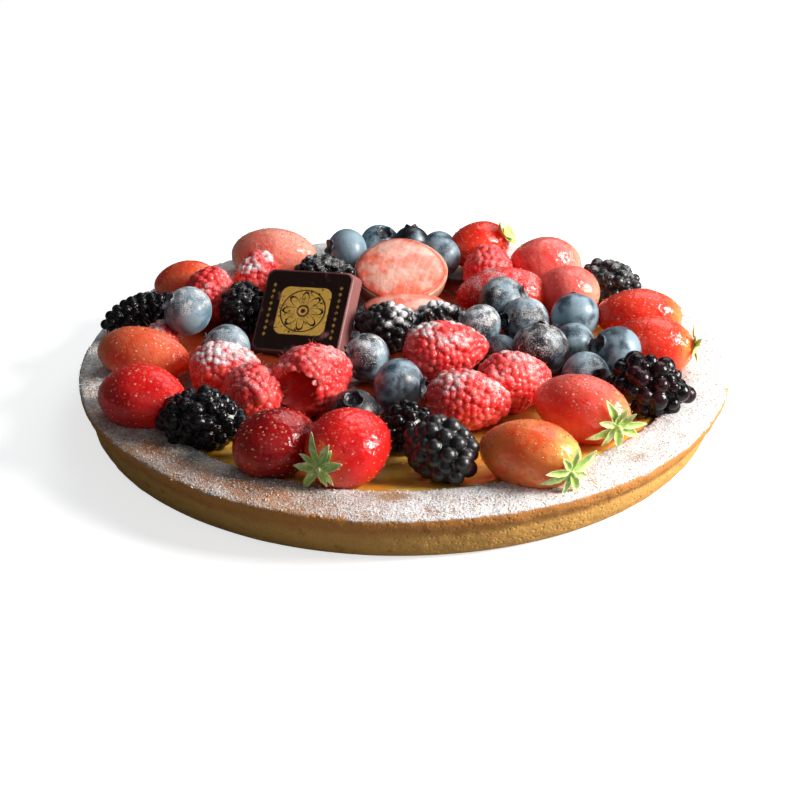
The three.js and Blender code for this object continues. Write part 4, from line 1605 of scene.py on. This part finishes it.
@dataclass
class ChocolateSquare:
    """The chocolate square: a slab with round corners and a gold rosette printed on its face."""

    at: tuple[float, float] = (-33, 13)
    lift: float = -0.5
    custard: float = 14
    side: float = 34.5
    thick: float = 5.5
    corner: float = 3
    draft: float = 1.2
    bevel: float = 0.8
    lean: float = 50
    turned: float = -20
    cant: float = 5
    print_half: float = 9.2
    petals: int = 8

    def outline(self, count: int) -> Array:
        """The back's outline: a square whose corners are quarter circles, at even distances."""
        near = self.side / 2 - self.corner
        steps = np.linspace(0, np.pi / 2, 12)
        corners = [
            near * np.array(middle) + self.corner * np.stack([np.cos(steps + start), np.sin(steps + start)], -1)
            for start, middle in zip(np.arange(4) * np.pi / 2, ((1, 1), (-1, 1), (-1, -1), (1, -1)))
        ]
        line = np.concatenate(corners)
        return evenly(np.concatenate([line, line[:1]]), count + 1)[:-1]

    def printed(self, x: Array, y: Array) -> Array:
        """The share of gold at each place of the face.

        A square with round corners is gold. Two dark rings, the outlines of eight petals and a dark dot are left
        out of it: a petal's outline is where the distance from the middle is 7.2 |cos 4a|^0.6. Two rows of small
        gold lozenges stand beside the square.

        Args:
            x: Across the face, from its middle.
            y: Up the face, from its middle.

        Returns:
            0 to 1.
        """
        half, fine = self.print_half, 0.12
        corner = np.hypot(np.maximum(np.abs(x) - half + 3, 0), np.maximum(np.abs(y) - half + 3, 0)) - 3
        gold = 1 - smooth_step(corner, -fine, fine)
        radius, angle = np.hypot(x, y), np.arctan2(y, x)
        petal = 7.2 * np.abs(np.cos(self.petals / 2 * angle)) ** 0.6
        lines = (
            (np.abs(radius - 8.0), 0.22),
            (np.abs(radius - petal) * np.where(radius > 2.2, 1, 9), 0.42),
            (np.abs(radius - 2.0), 0.3),
        )
        for away, wide in lines:
            gold *= smooth_step(away, wide - fine, wide + fine)
        gold *= smooth_step(radius, 0.7, 0.95)
        step = 2.4
        for column in (-12.2, 12.2):
            beside = np.abs(x - column) / 0.75 + np.abs((y / step - np.round(y / step)) * step) / 0.95
            gold = np.maximum(gold, 0.5 * (1 - smooth_step(beside, 0.75, 1.05)) * (np.abs(y) < 10.5))
        return gold

    def place(self) -> tuple[Array, Array]:
        """The rotation and the middle of the slab.

        Returns:
            The rotation, which turns the slab in its plane, leans it back and turns it to look outwards, and the
            place of its middle.
        """
        leaned = about(0, math.radians(90 - self.lean))
        turn = about(2, math.radians(self.turned)) @ leaned @ about(2, math.radians(self.cant))
        foot = self.side / 2 * math.cos(math.radians(self.lean))
        return turn, np.array([*self.at, self.custard + self.lift + foot])

    def built(self, kit: Kit) -> None:
        """Makes the slab: its outline shrinks from the back over the sides and bevel to the face's middle.

        Args:
            kit: What the fruit share.
        """
        outline = self.outline(420)
        half, thick = self.side / 2, self.thick
        shrink = [0.3, 0.7, 1.0]
        levels = [-thick / 2] * 3
        edges = [0.0, 0.0, 0.5]
        for share in np.linspace(0.1, 1, 10):
            shrink.append(1 - self.draft * share / half)
            levels.append(-thick / 2 + (thick - self.bevel) * share)
            edges.append(0.9)
        for bend in np.linspace(0, np.pi / 2, 7)[1:]:
            shrink.append(1 - (self.draft + self.bevel * (1 - math.cos(bend))) / half)
            levels.append(thick / 2 - self.bevel + self.bevel * math.sin(bend))
            edges.append(1.0)
        last = shrink[-1]
        for share in np.linspace(0.99, 0.01, 92):
            shrink.append(last * share)
            levels.append(thick / 2)
            edges.append(0.0)
        scale, level = np.array(shrink)[:, None], np.array(levels)[:, None]
        x, y = scale * outline[None, :, 0], scale * outline[None, :, 1]
        gold = self.printed(x, y) * (level > thick / 2 - 1e-6)
        dents = 0.08 * kit.relief.at(np.stack([x, y, level + 0 * x], axis=-1) + 40, 4.0, 2)
        grid = np.stack([x, y, level + 0.1 * gold + dents * (scale < 0.9)], axis=-1)
        back, face = np.array([0, 0, -thick / 2]), np.array([0, 0, thick / 2])
        # Painted reflection: the edge value, which carries the pinkish edge colour, is strongest on the slab's
        # right side.
        wear_and_sheen = 0.3 + 0.7 * smooth_step(outline[None, :, 0] / half, 0.5, 0.9)
        slab = Surface.capped(grid, back, face, gold=gold, edge=np.array(edges)[:, None] * wear_and_sheen)
        turn, middle = self.place()
        finish = ChocolateFinish("Dark chocolate", 0.38, 0.1, 0.25, 0.3)
        slab.turned(turn).moved(middle).shown(
            "chocolate_square", finish.made(kit.effects), Slot.CHOCOLATE, "chocolate_tile"
        )


# ----------------------------------------------------------------------------------------------------
# Studio
# ----------------------------------------------------------------------------------------------------


@dataclass
class Studio:
    """A pale floor, soft light from the right, and the camera."""

    lens: float = 65
    sensor: float = 36
    distance: float = 0.5
    elevation: float = 26.75
    frame_shift: float = -5 / 800
    key_power: float = 10.6
    back_power: float = 3.4
    front_power: float = 0.9
    ambient: float = 0.07

    @staticmethod
    def lamp(
        name: str, azimuth: float, elevation: float, distance: float, size: float, power: float,
        tint: tuple[float, float, float],
    ) -> None:
        """A square soft light that looks at the tart.

        Args:
            name: The light's name.
            azimuth: Where it stands, in degrees from +x.
            elevation: Its height in degrees above the floor.
            distance: How far it stands from the tart, in metres.
            size: Its side, in metres.
            power: In watts.
            tint: Its colour.
        """
        light = bpy.data.lights.new(name, "AREA")
        light.energy, light.size, light.color = power, size, tint
        lamp = bpy.data.objects.new(name, light)
        lamp.location = distance * towards(azimuth, elevation)
        lamp.rotation_euler = (math.radians(90 - elevation), 0, math.radians(azimuth + 90))
        bpy.context.scene.collection.objects.link(lamp)

    def built(self) -> None:
        """Sets up the camera, the lights, the surroundings and the floor."""
        scene = bpy.context.scene
        scene.view_settings.view_transform = "Standard"
        camera = bpy.data.cameras.new("camera")
        camera.lens, camera.sensor_width, camera.shift_y = self.lens, self.sensor, self.frame_shift
        camera.clip_start, camera.clip_end = 0.01, 20
        seen = bpy.data.objects.new("camera", camera)
        seen.location = self.distance * towards(-90, self.elevation)
        seen.rotation_euler = (math.radians(90 - self.elevation), 0, 0)
        scene.collection.objects.link(seen)
        scene.camera = seen
        self.lamp("key", -13, 29, 0.78, 0.3, self.key_power, (1.0, 0.965, 0.92))
        self.lamp("back", 60, 48, 1.0, 0.7, self.back_power, (0.97, 0.99, 1.0))
        self.lamp("front", -85, 45, 1.1, 1.0, self.front_power, (0.98, 0.99, 1.0))
        self._surroundings()
        self._floor()

    def _surroundings(self) -> None:
        """White behind the tart, and a dim cool light from all round."""
        world = bpy.data.worlds.new("surroundings")
        world.use_nodes = True
        wires = Wiring(world.node_tree)
        world.node_tree.nodes.clear()
        seen, lit = wires.add("ShaderNodeBackground"), wires.add("ShaderNodeBackground")
        seen.inputs[0].default_value = (1, 1, 1, 1)
        seen.inputs[1].default_value = 1.0
        lit.inputs[0].default_value = (0.72, 0.9, 1.0, 1)
        lit.inputs[1].default_value = self.ambient
        mixed = wires.add("ShaderNodeMixShader")
        wires.feed(mixed.inputs[0], wires.add("ShaderNodeLightPath").outputs["Is Camera Ray"])
        wires.feed(mixed.inputs[1], lit.outputs[0])
        wires.feed(mixed.inputs[2], seen.outputs[0])
        wires.feed(wires.add("ShaderNodeOutputWorld").inputs[0], mixed.outputs[0])
        bpy.context.scene.world = world

    def _floor(self) -> None:
        """A pale floor that glows a little to the camera, so that it is nearly white."""
        reach = 3.0
        mesh = bpy.data.meshes.new("floor")
        corners = [(-reach, -reach, 0), (reach, -reach, 0), (reach, reach, 0), (-reach, reach, 0)]
        mesh.from_pydata(corners, [], [(0, 1, 2, 3)])
        material = bpy.data.materials.new("Pale floor")
        material.use_nodes = True
        shader = material.node_tree.nodes["Principled BSDF"]
        shader.inputs["Roughness"].default_value = 0.9
        shader.inputs["Emission Color"].default_value = (1, 1, 1, 1)
        wires = Wiring(material.node_tree)
        seen = wires.add("ShaderNodeLightPath").outputs["Is Camera Ray"]
        lit_by, shown = (0.26, 0.26, 0.26, 1), (0.72, 0.72, 0.72, 1)
        wires.feed(shader.inputs["Base Color"], wires.blend(seen, lit_by, shown))
        wires.feed(shader.inputs["Emission Strength"], wires.times(seen, 0.7))
        mesh.materials.append(material)
        floor = bpy.data.objects.new("floor", mesh)
        bpy.context.scene.collection.objects.link(floor)


# ----------------------------------------------------------------------------------------------------
# The tart
# ----------------------------------------------------------------------------------------------------


class Red(Enum):
    """The colours that the strawberries come in: flesh, flush and shoulder."""

    SCARLET = ((246, 66, 40), (226, 34, 22), (250, 140, 70))
    EMBER = ((255, 112, 70), (248, 74, 46), (255, 160, 88))
    CHERRY = ((232, 32, 30), (208, 18, 20), (240, 92, 56))
    CRIMSON = ((166, 7, 11), (136, 4, 8), (200, 50, 30))
    ORANGE = ((255, 140, 70), (255, 102, 48), (255, 192, 104))
    CORAL = ((252, 98, 84), (242, 66, 56), (255, 150, 92))
    SALMON = ((255, 156, 136), (250, 120, 98), (255, 190, 160))
    ROSE = ((255, 120, 112), (246, 84, 78), (255, 164, 142))


def strawberry(
    number: int, long: float, wide: float, heading: float, tilt: float, red: Red, sugar: float = 0.0,
    drops: float = 0.25, **more: object
) -> Strawberry:
    """A strawberry of one of the usual colours, with its share of sugar dust and of pale sugar beads painted as
    glints.
    """
    flesh, flush, shoulder = red.value
    finish = StrawberryFinish(
        f"Strawberry {number:02d}", 0.15, specular=0.55, subsurface=0.85,
        subsurface_radius=(0.012, 0.003, 0.0014), flesh=flesh, flush=flush, shoulder=shoulder,
        sugar=sugar, drops=drops,
    )
    return Strawberry(number, long, wide, heading, tilt, finish, **more)


def raspberry(
    number: int, long: float, wide: float, heading: float, tilt: float, sugar: float, specks: float,
    **more: object,
) -> Raspberry:
    """A raspberry with its share of sugar and specks."""
    finish = DrupeFinish(
        f"Raspberry {number:02d}", 0.27, subsurface=0.45, subsurface_radius=(0.004, 0.0013, 0.001),
        # The raspberry's crease colour stays near the flesh: painted light through the drupelets.
        flesh=(238, 54, 56), top=(248, 100, 94), crease=(228, 58, 60), sugar=sugar, specks=specks,
    )
    return Raspberry(number, long, wide, heading, tilt, finish, **more)


def bramble(
    number: int, long: float, wide: float, heading: float, tilt: float, sugar: float, pitch: float = 3.4,
    top: Paint = (18, 9, 14), uneven: float = 0.11, dull: float = 0.0,
) -> Bramble:
    """A bramble with its share of sugar, the distance between its drupelets, their lighter colour, how much
    they differ in size, and how dull it is: a dull one has wider and softer highlights."""
    finish = DrupeFinish(
        f"Bramble {number:02d}", 0.21 + 0.2 * dull, specular=0.38 + 0.5 * dull, flesh=(7, 5, 7), top=top,
        # The bramble's near-black crease colour is painted shade.
        crease=(2, 1, 2), sugar=sugar, depth=0.5,
    )
    return Bramble(number, long, wide, heading, tilt, finish, pitch, uneven)


def blueberry(
    number: int, long: float, wide: float, heading: float, tilt: float, sugar: float, rubbed: float,
    veil: Paint = (58, 82, 98),
) -> Blueberry:
    """A blueberry with its share of sugar and of rubbed skin, and the darker colour of its bloom."""
    finish = BlueberryFinish(
        f"Blueberry {number:02d}", 0.42, coat=0.2, coat_roughness=0.2, veil=veil, rubbed=rubbed, sugar=sugar
    )
    return Blueberry(number, long, wide, heading, tilt, finish)


def all_fruit() -> list[Fruit]:
    """Every fruit on the tart."""
    return [
        strawberry(1, 32, 19, -15, -4, Red.EMBER, 0.12, 0.9),
        strawberry(2, 29, 21, -20, 0, Red.CHERRY, 0.08, 0.6),
        strawberry(3, 25, 16, 178, -6, Red.EMBER),
        strawberry(4, 33, 21, -5, 0, Red.SALMON, 0.2),
        strawberry(5, 34, 33, 92, 20, Red.SALMON, 0.1, halved=True),
        strawberry(6, 30, 20, 5, 0, Red.SALMON, 0.1, halved=True),
        strawberry(7, 26, 21, 30, 8, Red.CRIMSON, 0.06, 0.3),
        strawberry(8, 27, 23, 43, 12, Red.CHERRY, 0.1, 0.2, calyx=Calyx(8, 240, 6), packed=5),
        strawberry(9, 31, 21, 150, -5, Red.ORANGE, 0.12, 0.8, calyx=Calyx(9, -60, -4), packed=5),
        strawberry(10, 32, 21, 145, 0, Red.CORAL, 0.14, 0.7, calyx=Calyx(10, -72, 4), packed=5),
        strawberry(11, 25, 19, 200, -6, Red.SCARLET, calyx=Calyx(11, -30, 40, 3, 6.0, 7.0, 9.0, 0.6), packed=3),
        strawberry(12, 27, 21, 180, 0, Red.ROSE, 0.06),
        strawberry(13, 33, 19, 185, 0, Red.CHERRY, 0.36),
        strawberry(14, 23, 20, 150, 0, Red.ROSE),
        strawberry(15, 30, 20, 175, 0, Red.SCARLET, 0.12),
        strawberry(16, 28, 21, 168, 0, Red.SCARLET, 0.12, calyx=Calyx(16, -15, 15, 7, 5.5, 2.2), packed=3),
        raspberry(1, 24, 19, 0, 0, 0.95, 1.0),
        raspberry(2, 22, 20, -70, 25, 0.35, 1.0),
        raspberry(3, 28, 23, 48, 0, 0.48, 0.3, hollow=True),
        raspberry(4, 28, 20, 10, 0, 0.75, 0.8),
        raspberry(5, 25, 20, 20, 0, 0.55, 1.0),
        raspberry(6, 26, 20, -10, 0, 0.6, 1.0),
        raspberry(7, 20, 20, 60, 60, 0.5, 0.2),
        raspberry(8, 20, 18, 60, 60, 0.8, 0.2),
        raspberry(9, 21, 20, 90, 30, 0.3, 0.2),
        raspberry(10, 15, 13, 80, 30, 0.6, 0.2),
        raspberry(11, 20, 17, 20, 0, 0.3, 0.2),
        bramble(1, 29, 18, 203, -4, 0.0),
        bramble(2, 28, 20, -5, 0, 0.08, 4.2, uneven=0.3),
        # Bramble 3's greyer drupelet colour is partly a painted sheen for its soft grey highlights.
        bramble(3, 25, 20, -50, 0, 0.04, 4.8, (30, 22, 28), dull=0.9),
        bramble(4, 18, 16, 60, 0, 0.05, 3.8),
        bramble(5, 28, 21, -20, 0, 0.05, 5.0, (44, 14, 20), 0.34),
        bramble(6, 23, 19, -30, 0, 0.35, 4.0, uneven=0.25, dull=0.6),
        bramble(7, 23, 18, 160, 0, 1.1, 3.4, dull=0.6),
        bramble(8, 20, 17, 20, 0, 0.9, dull=0.5),
        bramble(9, 25, 19, 0, 0, 0.42),
        bramble(10, 21, 18, 90, 30, 0.2),
        blueberry(1, 15, 17, 200, 20, 0.15, 0.0, (120, 146, 160)),
        blueberry(2, 14, 16, 300, 60, 0.1, 0.35),
        blueberry(3, 13, 14, 90, 60, 0.0, 0.8),
        blueberry(4, 13, 14, 90, 0, 0.2, 0.3),
        blueberry(5, 14, 16, 60, 0, 0.25, 0.2),
        blueberry(6, 16, 17, 195, 35, 0.6, 0.12, (92, 122, 140)),
        blueberry(7, 16, 18, 180, 20, 0.5, 0.4),
        blueberry(8, 15, 16, 190, 10, 0.65, 0.55),
        blueberry(9, 16, 18, -15, 5, 0.2, 0.4),
        blueberry(10, 15, 16, -90, 65, 0.18, 0.85),
        blueberry(11, 17, 18, -15, 25, 0.42, 0.5),
        blueberry(12, 16, 17, 200, 10, 0.5, 0.5),
        blueberry(13, 15, 17, 170, 30, 0.65, 0.5),
        blueberry(14, 15, 17, 90, 30, 0.1, 0.25),
        blueberry(15, 18, 19, 60, 65, 0.5, 0.7),
        blueberry(16, 14, 15, -30, 10, 0.2, 0.3),
        blueberry(17, 16, 17, 200, 30, 0.1, 0.3),
        blueberry(18, 15, 16, -60, 20, 0.3, 0.35),
        blueberry(19, 13, 14, 0, 0, 0.2, 0.5),
        blueberry(20, 13, 14, 120, 40, 0.2, 0.4),
    ]


def main() -> None:
    """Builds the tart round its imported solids."""
    logging.basicConfig(level=logging.INFO, format="%(message)s")
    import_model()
    effects = Effects()
    kit = Kit(
        effects=effects,
        relief=Relief(5),
        seed=PlainFinish("Seed", 0.3, 0.6, colour=(246, 150, 92), other=(222, 84, 50)).made(effects),
        leaf=LeafFinish("Strawberry leaf", 0.45).made(effects),
        grain=PlainFinish("Sugar grain", 0.85, colour=(250, 249, 248), other=(238, 232, 226)).made(effects),
        cut=CutFinish("Cut strawberry", 0.35, 0.6),
    )
    shell = Shell()
    shell.built(kit)
    Custard(shell).built(kit)
    ChocolateSquare().built(kit)
    for fruit in all_fruit():
        fruit.built(kit)
    fine = PlainFinish("Raspberry hair", 0.6, colour=(226, 170, 140), other=(190, 110, 90)).made(effects)
    Surface.joined(kit.hairs).shown("raspberry_hairs", fine, Slot.RASPBERRY)
    Studio().built()


if __name__ == "__main__":
    main()
